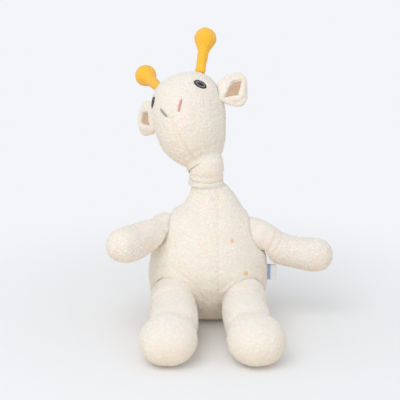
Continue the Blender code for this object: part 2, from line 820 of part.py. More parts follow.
def ear_pieces(side):
    """A fleece ear hinged on its rolled root, with a velour lining in its bowl."""
    frame = pivot(f"{side}_ear_pivot", ear_matrix(side), HEAD)
    roll = rod_mesh(EAR_ROOT_RADIUS, -EAR_ROOT_HALF_LENGTH, EAR_ROOT_HALF_LENGTH, EDGE_STEPS)
    root = mesh_object(f"{side}_ear_root", roll, parent=frame)
    outer = ear_form(f"{side}_ear_outer", side, 0, LIMB_SEGMENTS, "cream_fleece", frame)
    boolean(outer, "UNION", root)
    cut(outer, ear_bowl(f"{side}_ear_bowl", side, 0, None, frame))
    lining = ear_bowl(f"{side}_ear_lining", side, GAP, "tan_velour", frame)
    leaf = ear_form(f"{side}_ear_leaf", side, 0, LIMB_SEGMENTS, None, frame)
    boolean(lining, "INTERSECT", leaf)
    cut(lining, ear_bowl(f"{side}_ear_hollow", side, GAP + EAR_LINING_WALL, None, frame))


# Limbs


def arm_rings(inset):
    """Rings and end points of an arm that bends up towards its hand, in its own frame."""
    line = [Vector((0, 0, 0))]
    directions = []
    for number in range(BEND_STEPS + 1):
        angle = math.radians(between(ARM_ROOT_ANGLE, ARM_HAND_ANGLE, number / BEND_STEPS))
        directions.append(Vector((math.cos(angle), 0, -math.sin(angle))))
        line.append(line[-1] + directions[-1] * (ARM_LENGTH / BEND_STEPS))
    rings = []
    for length_share, hand_share in ARM_RING_SHARES:
        number = round(length_share * BEND_STEPS)
        along = directions[number]
        radius = between(ARM_WRIST_RADIUS, HAND_RADIUS, hand_share) - inset
        rings.append(Ring(line[number], Vector((0, 1, 0)), along.cross((0, 1, 0)), *[radius] * 3))
    add_end(rings, along, HAND_REACH - inset)
    buried = line[0] - directions[0] * (LIMB_BURIED_SHARE * ARM_WRIST_RADIUS)
    return rings, buried, line[BEND_STEPS] + along * (HAND_REACH - inset)


def leg_rings(inset):
    """Rings and end points of a leg with a pinched ankle and a ball of a foot."""
    along = Vector((0, -1, 0))
    rings = []
    for length_share, width_share, height_share in LEG_RING_SHARES:
        width = between(LEG_TUBE_RADIUS, FOOT_HALF_WIDTH, width_share) - inset
        height = between(LEG_TUBE_RADIUS, FOOT_HALF_HEIGHT, height_share) - inset
        centre = along * (length_share * LEG_LENGTH)
        rings.append(Ring(centre, Vector((1, 0, 0)), Vector((0, 0, 1)), width, height, height))
    add_end(rings, along, FOOT_REACH - inset)
    buried = along * (-LIMB_BURIED_SHARE * LEG_TUBE_RADIUS)
    return rings, buried, along * (LEG_LENGTH + FOOT_REACH - inset)


def add_end(rings, along, reach):
    """Close a limb's far end with the rings of a round cushion."""
    last = rings[-1]
    for reach_share, full_share in END_RING_SHARES:
        rings.append(
            Ring(
                last.centre + along * (reach * reach_share),
                last.side,
                last.front,
                last.half_width * full_share,
                last.front_depth * full_share,
                last.back_depth * full_share,
            )
        )


def limb_form(name, maker, inset, segments, finish, frame):
    """A limb's soft shape, smaller by an inset on every side."""
    rings, first, last = maker(inset)
    return soften(mesh_object(name, soft_mesh(rings, first, last, segments), finish, frame))


def limb_pieces(side, limb, root, maker, root_radius, matrix):
    """A limb's skin and stuffing on a ball of stuffing seated in the torso."""
    frame = pivot(f"{side}_{root}_pivot", matrix)
    name = f"{side}_{limb}"
    inward = frame.matrix_local.inverted().to_3x3() @ Vector((-side_sign(side), 0, 0))
    mouth = mesh_object(
        f"{name}_mouth",
        rod_mesh(LIMB_MOUTH_SHARE * root_radius, 0, root_radius + OVERRUN, WAD_SEGMENTS, inward),
        parent=frame,
    )
    wad = inner_radius(root_radius - FLEECE_WALL, WAD_SEGMENTS)
    mesh_object(f"{side}_{root}_stuffing", ball_mesh(wad, WAD_SEGMENTS, 0), "polyester_fill", frame)

    cavity = limb_form(f"{name}_cavity", maker, FLEECE_WALL, CORE_SEGMENTS, None, frame)
    cut(cavity, TORSO_RELIEFS[1], solver=SOFT_SOLVER)
    hollow = mesh_object(
        f"{name}_root_hollow", ball_mesh(root_radius - FLEECE_WALL, WAD_SEGMENTS), parent=frame
    )
    boolean(cavity, "UNION", hollow, SOFT_SOLVER)

    skin = limb_form(f"{name}_skin", maker, 0, LIMB_SEGMENTS, "cream_fleece", frame)
    cut(skin, TORSO_RELIEFS[0], solver=SOFT_SOLVER)
    ball = mesh_object(f"{name}_root_form", ball_mesh(root_radius, BALL_SEGMENTS), parent=frame)
    ball.rotation_euler.z = math.radians(HALF_TURN / BALL_SEGMENTS)
    boolean(skin, "UNION", ball, SOFT_SOLVER)
    cut(skin, cavity, mouth, FLOOR, solver=SOFT_SOLVER)

    seat = mesh_object(
        f"{name}_wad_seat", ball_mesh(clear_radius(wad, WAD_SEGMENTS), WAD_SEGMENTS), parent=frame
    )
    fill = limb_form(f"{name}_stuffing", maker, FLEECE_WALL + GAP, CORE_SEGMENTS, "polyester_fill", frame)
    cut(fill, TORSO_RELIEFS[2], seat, solver=SOFT_SOLVER)


# Label


def label_piece():
    """A blank ribbon folded in half, hinged at the torso's left seam."""
    side = torso_half_width(LABEL_HEIGHT)
    hinge = Vector((side + GAP + LABEL_HALF_THICKNESS, 0, LABEL_HEIGHT))
    frame = pivot("side_label_pivot", Matrix.Translation(hinge))
    outline = bpy.data.curves.new("side_label_outline", "CURVE")
    outline.dimensions = "2D"
    outline.fill_mode = "BOTH"
    outline.extrude = LABEL_HALF_HEIGHT
    reach = LABEL_LENGTH - 2 * LABEL_HALF_THICKNESS
    for radius in (LABEL_HALF_THICKNESS, LABEL_FOLD_GAP / 2):
        spline = outline.splines.new("POLY")
        spline.use_cyclic_u = True
        points = loop_points(reach, radius)
        spline.points.add(len(points) - 1)
        for point, (along, across) in zip(spline.points, points):
            point.co = (along, across, 0, 1)
    drawn = bpy.data.objects.new("side_label_curve", outline)
    CUTTERS.objects.link(drawn)
    bpy.context.view_layer.update()
    flat = drawn.evaluated_get(bpy.context.evaluated_depsgraph_get())
    data = bmesh.new()
    data.from_mesh(bpy.data.meshes.new_from_object(flat))
    bpy.data.objects.remove(drawn)
    bmesh.ops.remove_doubles(data, verts=data.verts, dist=MERGE)
    bmesh.ops.recalc_face_normals(data, faces=data.faces)
    mesh_object("side_label", data, "satin_ribbon", frame)


def loop_points(reach, radius):
    """Corners of a long loop with round ends, from the hinge to the fold."""
    points = []
    half = EDGE_STEPS // 2
    for centre, start in ((reach, -HALF_TURN / 2), (0, HALF_TURN / 2)):
        for number in range(half + 1):
            angle = math.radians(start + HALF_TURN * number / half)
            points.append((centre + radius * math.cos(angle), radius * math.sin(angle)))
    return points


torso_pieces()
neck_pieces()
head_pieces()
face_pieces()
spot_pieces()
TORSO_RELIEFS = [
    torso_form("torso_relief", -FLANK_RELIEF, TORSO_SEGMENTS),
    torso_form("torso_relief_wall", -FLANK_RELIEF - FLEECE_WALL, TORSO_SEGMENTS),
    torso_form("torso_relief_fill", -FLANK_RELIEF - FLEECE_WALL - GAP, TORSO_SEGMENTS),
]
for toy_side in SIDES:
    horn_pieces(toy_side)
    ear_pieces(toy_side)
    limb_pieces(toy_side, "arm", "shoulder", arm_rings, ARM_ROOT_RADIUS, shoulder_matrix(toy_side))
    limb_pieces(toy_side, "leg", "hip", leg_rings, LEG_ROOT_RADIUS, hip_matrix(toy_side))
label_piece()
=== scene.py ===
"""Looks of a seated plush giraffe: curly cream fleece, orange horns, stitched face.

Every stuffed form starts as a copy of its solids, is remeshed, puffed up as cloth,
creased along its seams and folds, and then covered with a real curly pile.
"""

from __future__ import annotations

import itertools
import json
import logging
import math
from dataclasses import dataclass, field
from enum import Enum

import bmesh
import bpy
import numpy as np
from mathutils import Matrix, Vector
from mathutils.bvhtree import BVHTree


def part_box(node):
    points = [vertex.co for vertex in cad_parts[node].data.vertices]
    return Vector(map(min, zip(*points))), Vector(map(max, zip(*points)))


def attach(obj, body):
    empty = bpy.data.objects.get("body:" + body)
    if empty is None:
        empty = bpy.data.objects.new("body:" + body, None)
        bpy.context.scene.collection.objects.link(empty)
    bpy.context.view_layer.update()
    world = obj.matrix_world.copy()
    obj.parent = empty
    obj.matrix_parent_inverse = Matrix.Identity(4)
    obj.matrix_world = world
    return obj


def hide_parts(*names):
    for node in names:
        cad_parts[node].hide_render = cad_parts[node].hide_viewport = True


LOG = logging.getLogger("plush_giraffe")
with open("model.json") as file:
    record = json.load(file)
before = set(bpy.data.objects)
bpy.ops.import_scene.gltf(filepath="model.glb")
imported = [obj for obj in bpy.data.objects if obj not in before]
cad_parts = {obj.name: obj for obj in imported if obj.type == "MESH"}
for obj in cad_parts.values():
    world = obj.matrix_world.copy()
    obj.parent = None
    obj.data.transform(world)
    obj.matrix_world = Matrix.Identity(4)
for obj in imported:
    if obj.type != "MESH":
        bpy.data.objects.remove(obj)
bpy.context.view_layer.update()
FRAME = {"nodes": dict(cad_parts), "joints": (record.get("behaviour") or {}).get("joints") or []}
SHRINK, SWELL = 0.60, -0.61
TINY = 1e-6

Array = np.ndarray
Item = bpy.types.Object
Socket = bpy.types.NodeSocket
Place = tuple[float, float, float]
Colour = tuple[float, float, float]
Window = tuple[float, float]
Stitch = tuple[float, float]
Gathers = tuple[float, float, float]


class Side(Enum):
    """The toy's own left is +X, which is on the viewer's right."""

    LEFT = "left"
    RIGHT = "right"

    @property
    def sign(self) -> int:
        """+1 on the toy's left and -1 on its right."""
        return 1 if self is Side.LEFT else -1

    def of(self, part: str) -> str:
        """Name of this side's part."""
        return f"{self.value}_{part}"


class Slot(Enum):
    """Material slots that the record names."""

    FLEECE = "fleece"
    STUFFING = "stuffing"
    HORN = "horn_felt"
    VELOUR = "ear_velour"
    EYE = "eye_thread"
    NOSTRIL = "nostril_thread"
    ORANGE = "orange_thread"
    YELLOW = "yellow_thread"
    RIBBON = "ribbon"


# Working on meshes


def only(*objects: Item) -> None:
    """Select these objects alone, with the first one active."""
    bpy.ops.object.select_all(action="DESELECT")
    for item in objects:
        item.select_set(True)
    bpy.context.view_layer.objects.active = objects[0]


def apply_modifier(item: Item, kind: str, **settings: object) -> None:
    """Add a modifier with its settings and apply it."""
    change = item.modifiers.new(kind.lower(), kind)
    for name, value in settings.items():
        setattr(change, name, value)
    only(item)
    bpy.ops.object.modifier_apply(modifier=change.name)


def subdivide(item: Item) -> None:
    """Halve every edge of a mesh and smooth it."""
    apply_modifier(item, "SUBSURF", levels=1, render_levels=1)


def remesh(item: Item, voxel: float) -> None:
    """Rebuild a mesh on an even grid and keep its outer shell."""
    apply_modifier(item, "REMESH", mode="VOXEL", voxel_size=voxel)
    keep_largest_shell(item)


def points_of(item: Item) -> Array:
    """Places of a mesh's points."""
    found = np.empty(len(item.data.vertices) * 3)
    item.data.vertices.foreach_get("co", found)
    return found.reshape(-1, 3)


def normals_of(item: Item) -> Array:
    """Outward directions at a mesh's points."""
    found = np.empty(len(item.data.vertices) * 3, dtype=np.float32)
    item.data.vertex_normals.foreach_get("vector", found)
    return found.reshape(-1, 3).astype(float)


def put_points(item: Item, points: Array) -> None:
    """Move a mesh's points."""
    item.data.vertices.foreach_set("co", np.ascontiguousarray(points, dtype=np.float32).ravel())
    item.data.update()


def press_flat(item: Item) -> None:
    """Press what is under the floor up against it."""
    points = points_of(item)
    points[:, 2] = np.maximum(points[:, 2], 0)
    put_points(item, points)


def keep(item: Item, name: str, values: Array) -> None:
    """Store one value a point, held from 0 to 1, as an attribute that the materials read."""
    found = item.data.attributes.get(name) or item.data.attributes.new(name, "FLOAT", "POINT")
    found.data.foreach_set("value", np.ascontiguousarray(np.clip(values, 0, 1), dtype=np.float32))


def placed(name: str, data: bpy.types.ID) -> Item:
    """Put new data in the scene as an object."""
    item = bpy.data.objects.new(name, data)
    bpy.context.scene.collection.objects.link(item)
    return item


def started(name: str, operator: object, **settings: object) -> Item:
    """Add a primitive and apply its place.

    Args:
        name: name of the new piece.
        operator: the operator that adds the primitive.
        settings: the primitive's sizes and place.

    Returns:
        The new object.
    """
    bpy.ops.object.select_all(action="DESELECT")
    operator(**settings)
    item = bpy.context.view_layer.objects.active
    item.name = name
    bpy.ops.object.transform_apply(location=True, rotation=True, scale=True)
    return item


def copied(name: str, nodes: tuple[str, ...]) -> Item:
    """Join copies of the solids' meshes in one new object.

    Args:
        name: name of the new piece.
        nodes: solids whose shapes are taken.

    Returns:
        The new object, with its loose triangles merged.
    """
    made = []
    for node in nodes:
        mesh = FRAME["nodes"][node].data.copy()
        mesh.materials.clear()
        made.append(placed(name, mesh))
    only(*made)
    if len(made) > 1:
        bpy.ops.object.join()
    item = bpy.context.view_layer.objects.active
    item.name = name
    apply_modifier(item, "WELD", merge_threshold=0.00001)
    return item


def keep_largest_shell(item: Item) -> None:
    """Remove every shell of a mesh but the one with the most points."""
    work = bmesh.new()
    work.from_mesh(item.data)
    left, shells = set(work.verts), []
    while left:
        shell, queue = set(), [left.pop()]
        while queue:
            corner = queue.pop()
            shell.add(corner)
            for edge in corner.link_edges:
                other = edge.other_vert(corner)
                if other in left:
                    left.discard(other)
                    queue.append(other)
        shells.append(shell)
    shells.sort(key=len)
    for shell in shells[:-1]:
        bmesh.ops.delete(work, geom=list(shell), context="VERTS")
    work.to_mesh(item.data)
    work.free()


def even_out(item: Item, passes: int, freedom: Array | float = 1.0) -> None:
    """Smooth away facets without shrinking the form.

    Args:
        item: the piece.
        passes: pairs of a shrinking and a swelling pass.
        freedom: how far each point may follow, from 0 to 1.
    """
    points = points_of(item)
    count = len(points)
    edges = np.empty(len(item.data.edges) * 2, dtype=np.int32)
    item.data.edges.foreach_get("vertices", edges)
    valence = np.maximum(np.bincount(edges, minlength=count), 1)[:, None]
    first, second = edges.reshape(-1, 2).T
    free = np.broadcast_to(freedom, count)[:, None]
    for strength in (SHRINK, SWELL) * passes:
        total = np.stack(
            [
                np.bincount(first, weights=points[second, axis], minlength=count)
                + np.bincount(second, weights=points[first, axis], minlength=count)
                for axis in range(3)
            ],
            axis=1,
        )
        points = points + strength * free * (total / valence - points)
    put_points(item, points)


# Patterns over a surface


def scattered(corner: Array, seed: int) -> Array:
    """Pseudo random numbers from 0 to 1 at whole grid corners."""
    key = corner[..., 0] * 73856093 ^ corner[..., 1] * 19349663 ^ corner[..., 2] * 83492791
    key = (key ^ (seed * 668265263)) & 0xFFFFFFFF
    for shift, factor in ((16, 0x7FEB352D), (15, 0x846CA68B)):
        key = ((key ^ (key >> shift)) * factor) & 0xFFFFFFFF
    return (key ^ (key >> 16)) / 0xFFFFFFFF


def unevenness(points: Array, size: float, seed: int) -> Array:
    """Smooth noise over places.

    Args:
        points: the places.
        size: about how large a lump is.
        seed: which noise it is.

    Returns:
        A value from -1 to 1 for each place.
    """
    grid = points / size
    base = np.floor(grid).astype(np.int64)
    part = ramp(grid - base)
    total = np.zeros(len(points))
    for corner in itertools.product((0, 1), repeat=3):
        weight = np.prod(np.where(corner, part, 1 - part), axis=1)
        total += weight * scattered(base + np.array(corner), seed)
    return 2 * total - 1


def nearest_curls(points: Array, size: float, seed: int) -> tuple[Array, Array]:
    """Distances to scattered curls, one in each cell of a grid.

    Args:
        points: the places.
        size: size of a cell.
        seed: which scatter it is.

    Returns:
        Distances, in cells, to the nearest curl and to the next one.
    """
    grid = points / size
    base = np.floor(grid).astype(np.int64)
    first = second = np.full(len(points), 9.0)
    for corner in itertools.product((-1, 0, 1), repeat=3):
        cell = base + np.array(corner)
        spot = cell + np.stack([scattered(cell, seed + axis) for axis in range(3)], axis=1)
        away = np.linalg.norm(spot - grid, axis=1)
        second = np.minimum(second, np.maximum(first, away))
        first = np.minimum(first, away)
    return first, second


def bell(distance: Array, width: float) -> Array:
    """A soft bump that is 1 at nought and dies away past its width."""
    return np.exp(-((distance / width) ** 2))


def ramp(values: Array, low: float = 0.0, high: float = 1.0) -> Array:
    """Smooth step from 0 at one value to 1 at another."""
    share = np.clip((values - low) / (high - low), 0, 1)
    return share * share * (3 - 2 * share)


def between(values: Array, start: Window, end: Window) -> Array:
    """Smooth mask that rises over one window and falls over another."""
    return ramp(values, *start) * (1 - ramp(values, *end))


def pleated(angle: Array, count: int) -> Array:
    """Even folds round a circle, from 0 to 1."""
    return 0.5 + 0.5 * np.cos(count * angle)


def far_from(points: Array, place: Place | Vector | Array) -> Array:
    """Distance of each point from one place."""
    return np.linalg.norm(points - np.array(place), axis=1)


@dataclass(frozen=True)
class Pile:
    """The curls of a fleece: their spacing, height and waywardness."""

    curl: float = 0.0033
    height: float = 0.0010
    fine_curl: float = 0.0015
    fine_share: float = 0.28
    wander: float = 0.0009
    wander_size: float = 0.0050
    uneven: float = 0.35
    uneven_size: float = 0.014
    dome: float = 0.95
    valley: float = 0.35
    valley_floor: float = 0.35

    def heights(self, points: Array, seed: int) -> Array:
        """Height of the pile over a surface.

        Args:
            points: places on the surface.
            seed: which scatter of curls it is.

        Returns:
            A height from 0 to about 1 for each place.
        """
        drift = np.stack([unevenness(points, self.wander_size, seed + axis) for axis in range(3)], axis=1)
        total = 0
        for size, share in ((self.curl, 1 - self.fine_share), (self.fine_curl, self.fine_share)):
            first, second = nearest_curls(points + self.wander * drift, size, seed)
            dome = np.sqrt(np.clip(1 - (first / self.dome) ** 2, 0, 1))
            valley = np.clip((second - first) / self.valley, 0, 1)
            total = total + share * dome * (self.valley_floor + (1 - self.valley_floor) * valley)
        return total * (1 + self.uneven * unevenness(points, self.uneven_size, seed + 9))


# Materials


@dataclass(frozen=True)
class Wiring:
    """A node tree, and how nodes are added to it."""

    tree: bpy.types.NodeTree

    def add(self, kind: str, inputs: dict[str | int, object], **settings: object) -> bpy.types.Node:
        """Add a node, with its settings, and fill or link its sockets.

        Args:
            kind: the node's type, without the words that every type starts with.
            inputs: for each socket, a value or another node's output.
            settings: the node's own properties.

        Returns:
            The new node.
        """
        made = self.tree.nodes.new(f"ShaderNode{kind}")
        for name, value in settings.items():
            setattr(made, name, value)
        self.feed(made, inputs)
        return made

    def feed(self, node: bpy.types.Node, inputs: dict[str | int, object]) -> None:
        """Fill a node's sockets with values, or link them to other nodes' outputs."""
        for name, value in inputs.items():
            if isinstance(value, Socket):
                self.tree.links.new(value, node.inputs[name])
            else:
                node.inputs[name].default_value = value

    def maths(self, operation: str, *values: object, clamp: bool = False) -> Socket:
        """Add a Math node and return its output."""
        return self.add("Math", dict(enumerate(values)), operation=operation, use_clamp=clamp).outputs[0]

    def mixed(self, factor: Socket, low: Socket | Colour, high: Socket | Colour) -> Socket:
        """Blend two colours by a mask."""
        low, high = (end if isinstance(end, Socket) else (*end, 1.0) for end in (low, high))
        return self.add("Mix", {"Factor": factor, 6: low, 7: high}, data_type="RGBA").outputs[2]

    def attribute(self, name: str) -> Socket:
        """Read one of the piece's own attributes."""
        return self.add("Attribute", {}, attribute_name=name, attribute_type="GEOMETRY").outputs["Fac"]

    def noise(self, vector: Socket, scale: Socket, detail: float, roughness: float = 0.5) -> bpy.types.Node:
        """Add a noise texture."""
        inputs = {"Vector": vector, "Scale": scale, "Detail": detail, "Roughness": roughness}
        return self.add("TexNoise", inputs)

    def shared(self, name: str, inputs: dict[str, object]) -> bpy.types.bpy_prop_collection:
        """Place a shared group with its own values and return its outputs."""
        return self.add("Group", inputs, node_tree=bpy.data.node_groups[name]).outputs


def group(name: str, sizes: dict[str, float], outputs: tuple[str, ...]) -> tuple:
    """Start a node group that takes a place and some sizes and gives values.

    Args:
        name: the group's name.
        sizes: for each size, its usual value.
        outputs: names of the values.

    Returns:
        The group's wiring, its inputs and its output node.
    """
    tree = bpy.data.node_groups.new(name, "ShaderNodeTree")
    tree.interface.new_socket("Vector", in_out="INPUT", socket_type="NodeSocketVector")
    for label, size in sizes.items():
        tree.interface.new_socket(label, in_out="INPUT", socket_type="NodeSocketFloat").default_value = size
    for label in outputs:
        tree.interface.new_socket(label, in_out="OUTPUT", socket_type="NodeSocketFloat")
    return Wiring(tree), tree.nodes.new("NodeGroupInput").outputs, tree.nodes.new("NodeGroupOutput")


def curl_group() -> None:
    """Fine curls and loose fibres of a pile: their height, painted shade in their crevices and a
    blotchiness.
    """
    sizes, outputs = {"Curl": 0.001, "Fibre": 0.0003}, ("Height", "CreviceShade", "Blotch")
    wires, given, result = group("curly_fibres", sizes, outputs)
    place, curl = given["Vector"], given["Curl"]
    scale = wires.maths("DIVIDE", 1.0, curl)
    drift = wires.noise(place, scale, 2.0).outputs["Color"]
    drift = wires.add("VectorMath", {0: drift, 1: (0.5, 0.5, 0.5)}, operation="SUBTRACT").outputs["Vector"]
    reach = wires.maths("MULTIPLY", curl, 1.6)
    drift = wires.add("VectorMath", {0: drift, "Scale": reach}, operation="SCALE").outputs["Vector"]
    bent = wires.add("VectorMath", {0: place, 1: drift}, operation="ADD").outputs["Vector"]
    cells = wires.add(
        "TexVoronoi", {"Vector": bent, "Scale": scale, "Smoothness": 0.6}, feature="SMOOTH_F1"
    ).outputs["Distance"]
    coil = wires.maths("SINE", wires.maths("MULTIPLY", cells, 15.0))
    height = wires.maths("MULTIPLY_ADD", coil, 0.16, wires.maths("SUBTRACT", 1.0, cells, clamp=True))
    fibres = wires.noise(bent, wires.maths("DIVIDE", 1.0, given["Fibre"]), 3.0, 0.65).outputs["Fac"]
    height = wires.maths("MULTIPLY_ADD", fibres, 0.45, height)
    # Painted shade, rising towards the edge of each curl.
    crevice_shade = wires.maths("MULTIPLY_ADD", cells, 1.5, -0.45, clamp=True)
    blotch = wires.noise(place, wires.maths("DIVIDE", scale, 18.0), 2.0).outputs["Fac"]
    wires.feed(result, {"Height": height, "CreviceShade": crevice_shade, "Blotch": blotch})


def nap_group() -> None:
    """The short brushed nap of felt, velour and thread: its height and its mottling."""
    wires, given, result = group("brushed_nap", {"Size": 0.0004}, ("Height", "Mottle"))
    scale = wires.maths("DIVIDE", 1.0, given["Size"])
    fine = wires.noise(given["Vector"], scale, 4.0, 0.7)
    broad = wires.noise(given["Vector"], wires.maths("DIVIDE", scale, 9.0), 3.0)
    wires.feed(result, {"Height": fine.outputs["Fac"], "Mottle": broad.outputs["Fac"]})


@dataclass(frozen=True)
class Finish:
    """What every finish has: its name, two colours, roughness, sheen, bump and glow."""

    name: str
    colour: Colour
    # A darker colour that each pattern mixes in: painted shade in the fleece's and naps' creases, the naps'
    # mottle, and the ribbon's weave.
    deep: Colour
    roughness: float = 0.95
    sheen: float = 0.2
    sheen_roughness: float = 0.6
    specular: float = 0.25
    bump: float = 0.0003
    strength: float = 0.5
    size: float = 0.0010
    glow: float = 0.0
    glow_depth: float = 0.004

    def material(self) -> bpy.types.Material:
        """Build the material round the finish's own pattern."""
        made = bpy.data.materials.new(self.name)
        made.use_nodes = True
        made.diffuse_color = (*self.colour, 1.0)
        wires = Wiring(made.node_tree)
        colour, height = self.pattern(wires, wires.add("TexCoord", {}).outputs["Object"])
        bump = wires.add("Bump", {"Height": height, "Distance": self.bump, "Strength": self.strength})
        values = {
            "Base Color": colour,
            "Normal": bump.outputs[0],
            "Roughness": self.roughness,
            "Sheen Weight": self.sheen,
            "Sheen Roughness": self.sheen_roughness,
            "Specular IOR Level": self.specular,
            "Subsurface Weight": self.glow,
            "Subsurface Scale": self.glow_depth,
        }
        wires.feed(made.node_tree.nodes["Principled BSDF"], values)
        return made

    def pattern(self, wires: Wiring, where: Socket) -> tuple[Socket, Socket]:
        """Colour and height over the surface."""
        raise NotImplementedError


@dataclass(frozen=True)
class Fleece(Finish):
    """Curly pile, with painted shade: darker and warmer down between its curls and in its creases."""

    sheen: float = 0.3
    bump: float = 0.0005
    strength: float = 0.4
    size: float = 0.0016
    glow: float = 0.25
    fibre: float = 0.0003
    blotch: float = 0.965
    # Shares of painted shade: in the curls' crevices, in the pile's valleys and in seams and folds.
    crevice_shade_share: float = 0.12
    valley_shade_share: float = 0.45
    crease_share: float = 0.60

    def pattern(self, wires: Wiring, where: Socket) -> tuple[Socket, Socket]:
        """Blotches of two creams, with painted shade towards the deep colour in crevices, valleys and
        creases.
        """
        curls = wires.shared("curly_fibres", {"Vector": where, "Curl": self.size, "Fibre": self.fibre})
        # Painted shade: low pile, crevices and creases are mixed towards the deep colour.
        low = wires.maths("SUBTRACT", 1.0, wires.attribute("pile"), clamp=True)
        low = wires.maths("MULTIPLY", low, self.valley_shade_share)
        deep = wires.maths("MULTIPLY_ADD", curls["CreviceShade"], self.crevice_shade_share, low)
        deep = wires.maths("MULTIPLY_ADD", wires.attribute("crease"), self.crease_share, deep, clamp=True)
        plain = wires.mixed(curls["Blotch"], self.colour, tuple(part * self.blotch for part in self.colour))
        return wires.mixed(deep, plain, self.deep), curls["Height"]


@dataclass(frozen=True)
class Nap(Finish):
    """Brushed felt, velour, thread or fill."""

    mottle: float = 0.5
    # Share of the crease value: painted shade in seams and folds, and the fill's lumpy tone.
    crease_share: float = 0.8

    def pattern(self, wires: Wiring, where: Socket) -> tuple[Socket, Socket]:
        """A mottled colour, darker where the crease value is: painted shade in seams, folds and tucks, and
        a lumpy tone on the fill.
        """
        nap = wires.shared("brushed_nap", {"Vector": where, "Size": self.size})
        mottle = wires.maths("MULTIPLY_ADD", nap["Mottle"], 2 * self.mottle, -0.5 * self.mottle)
        deep = wires.maths("MULTIPLY_ADD", wires.attribute("crease"), self.crease_share, mottle, clamp=True)
        return wires.mixed(deep, self.colour, self.deep), nap["Height"]


@dataclass(frozen=True)
class Ribbon(Finish):
    """Woven satin with a coloured band by its seam, and nothing written on it."""

    band: Colour = (0.36, 0.50, 0.76)

    def pattern(self, wires: Wiring, where: Socket) -> tuple[Socket, Socket]:
        """The weave's shade, and the band over it."""
        inputs = {"Vector": where, "Scale": 0.35 / self.size, "Distortion": 0.4}
        weave = wires.add("TexWave", inputs, bands_direction="Z").outputs["Fac"]
        shade = wires.mixed(weave, self.deep, self.colour)
        return wires.mixed(wires.attribute("band"), shade, self.band), weave


def thread(name: str, colour: Colour, deep: Colour, **values: float) -> Nap:
    """Embroidery thread in one colour."""
    return Nap(f"{name}_embroidery", colour, deep, size=0.0002, bump=0.0001, **{"roughness": 0.5, **values})


@dataclass
class Wardrobe:
    """Every finish of the toy, made once."""

    # The fleece's deep colour is painted shade: warm beige down between the curls and in creases.
    fleece: Fleece = Fleece("cream_curly_fleece", (0.94, 0.90, 0.84), (0.78, 0.66, 0.51))
    felt: Nap = Nap(
        "orange_brushed_felt", (0.97, 0.565, 0.045), (0.90, 0.44, 0.02), 0.9, 0.3, size=0.0005, bump=0.0002
    )
    velour: Nap = Nap(
        "tan_velour", (0.62, 0.44, 0.30), (0.46, 0.30, 0.19), 0.85, 0.5, size=0.0004, bump=0.00015
    )
    fill: Nap = Nap("polyester_fill", (0.88, 0.88, 0.86), (0.72, 0.72, 0.70), size=0.0006, bump=0.0004)
    black: Nap = thread("black", (0.020, 0.018, 0.016), (0.008, 0.007, 0.006), roughness=0.45, sheen=0.1)
    grey: Nap = thread("grey", (0.26, 0.24, 0.24), (0.12, 0.11, 0.11), roughness=0.45)
    pink: Nap = thread("pink", (0.74, 0.38, 0.37), (0.58, 0.27, 0.27))
    # Painted shade: the pink nostril thread darkened to a taupe, for the nostril on the toy's right.
    shaded_pink: Nap = thread("shaded_pink", (0.46, 0.40, 0.34), (0.30, 0.25, 0.20))
    orange: Nap = thread("orange", (0.92, 0.69, 0.38), (0.80, 0.48, 0.18))
    yellow: Nap = thread("yellow", (0.90, 0.87, 0.62), (0.84, 0.76, 0.46))
    ribbon: Ribbon = Ribbon(
        "satin_ribbon", (0.95, 0.96, 0.98), (0.84, 0.88, 0.93), 0.4, 0.1, size=0.0004, bump=0.0001
    )
    made: dict[str, bpy.types.Material] = field(default_factory=dict)

    def __post_init__(self) -> None:
        """Build the node groups that the finishes share."""
        curl_group()
        nap_group()

    def dress(
        self,
        item: Item,
        body: str,
        finish: Finish,
        stands_for: tuple[str, ...] = (),
    ) -> Item:
        """Let a finished piece ride on its body, stand for its solids and wear its finish.

        Args:
            item: the piece.
            body: the body that carries it.
            finish: what it wears.
            stands_for: solids that it replaces.

        Returns:
            The piece.
        """
        item.data.shade_smooth()
        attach(item, body)
        if stands_for:
            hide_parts(*stands_for)
        if finish.name not in self.made:
            self.made[finish.name] = finish.material()
        item.data.materials.clear()
        item.data.materials.append(self.made[finish.name])
        LOG.info("%s: %d faces", item.name, len(item.data.polygons))
        return item


# Build of the body


@dataclass(frozen=True)
class Posture:
    """How the head, ears and horns are turned, as the solids have them, in degrees."""

    head_roll: float = -27.0
    head_yaw: float = -15.0
    head_pitch: float = -31.0
    ear_sweep: float = 20.0
    ear_raise: dict = field(default_factory=lambda: {Side.LEFT: -12.0, Side.RIGHT: 30.0})
    horn_splay: dict = field(default_factory=lambda: {Side.LEFT: 21.0, Side.RIGHT: 34.0})
    horn_lean: dict = field(default_factory=lambda: {Side.LEFT: 12.0, Side.RIGHT: 26.0})

    def joint(self, name: str) -> Vector:
        """Place of a joint."""
        return Vector(next(row["pos_m"] for row in FRAME["joints"] if row["name"] == name))

    def head(self) -> Matrix:
        """Frame of the head, from the centre of the neck ball up to the crown."""
        turns = turned(self.head_roll, "Y") @ turned(self.head_yaw, "Z") @ turned(self.head_pitch, "X")
        return Matrix.Translation(self.joint("head_tilt")) @ turns

    def on_head(self, joint: str, turns: Matrix) -> Matrix:
        """Frame at a joint of the head, turned against the head."""
        return Matrix.Translation(self.joint(joint)) @ self.head().to_3x3().to_4x4() @ turns

    def ear(self, side: Side) -> Matrix:
        """Frame of an ear: X runs out along it for the left, and -Y is its front."""
        turns = turned(side.sign * self.ear_sweep, "Z") @ turned(-side.sign * self.ear_raise[side], "Y")
        return self.on_head(side.of("ear_flap"), turns)

    def horn(self, side: Side) -> Matrix:
        """Frame of a horn, whose Z runs up along it."""
        turns = turned(side.sign * self.horn_splay[side], "Y") @ turned(-self.horn_lean[side], "X")
        return self.on_head(side.of("horn_bend"), turns)


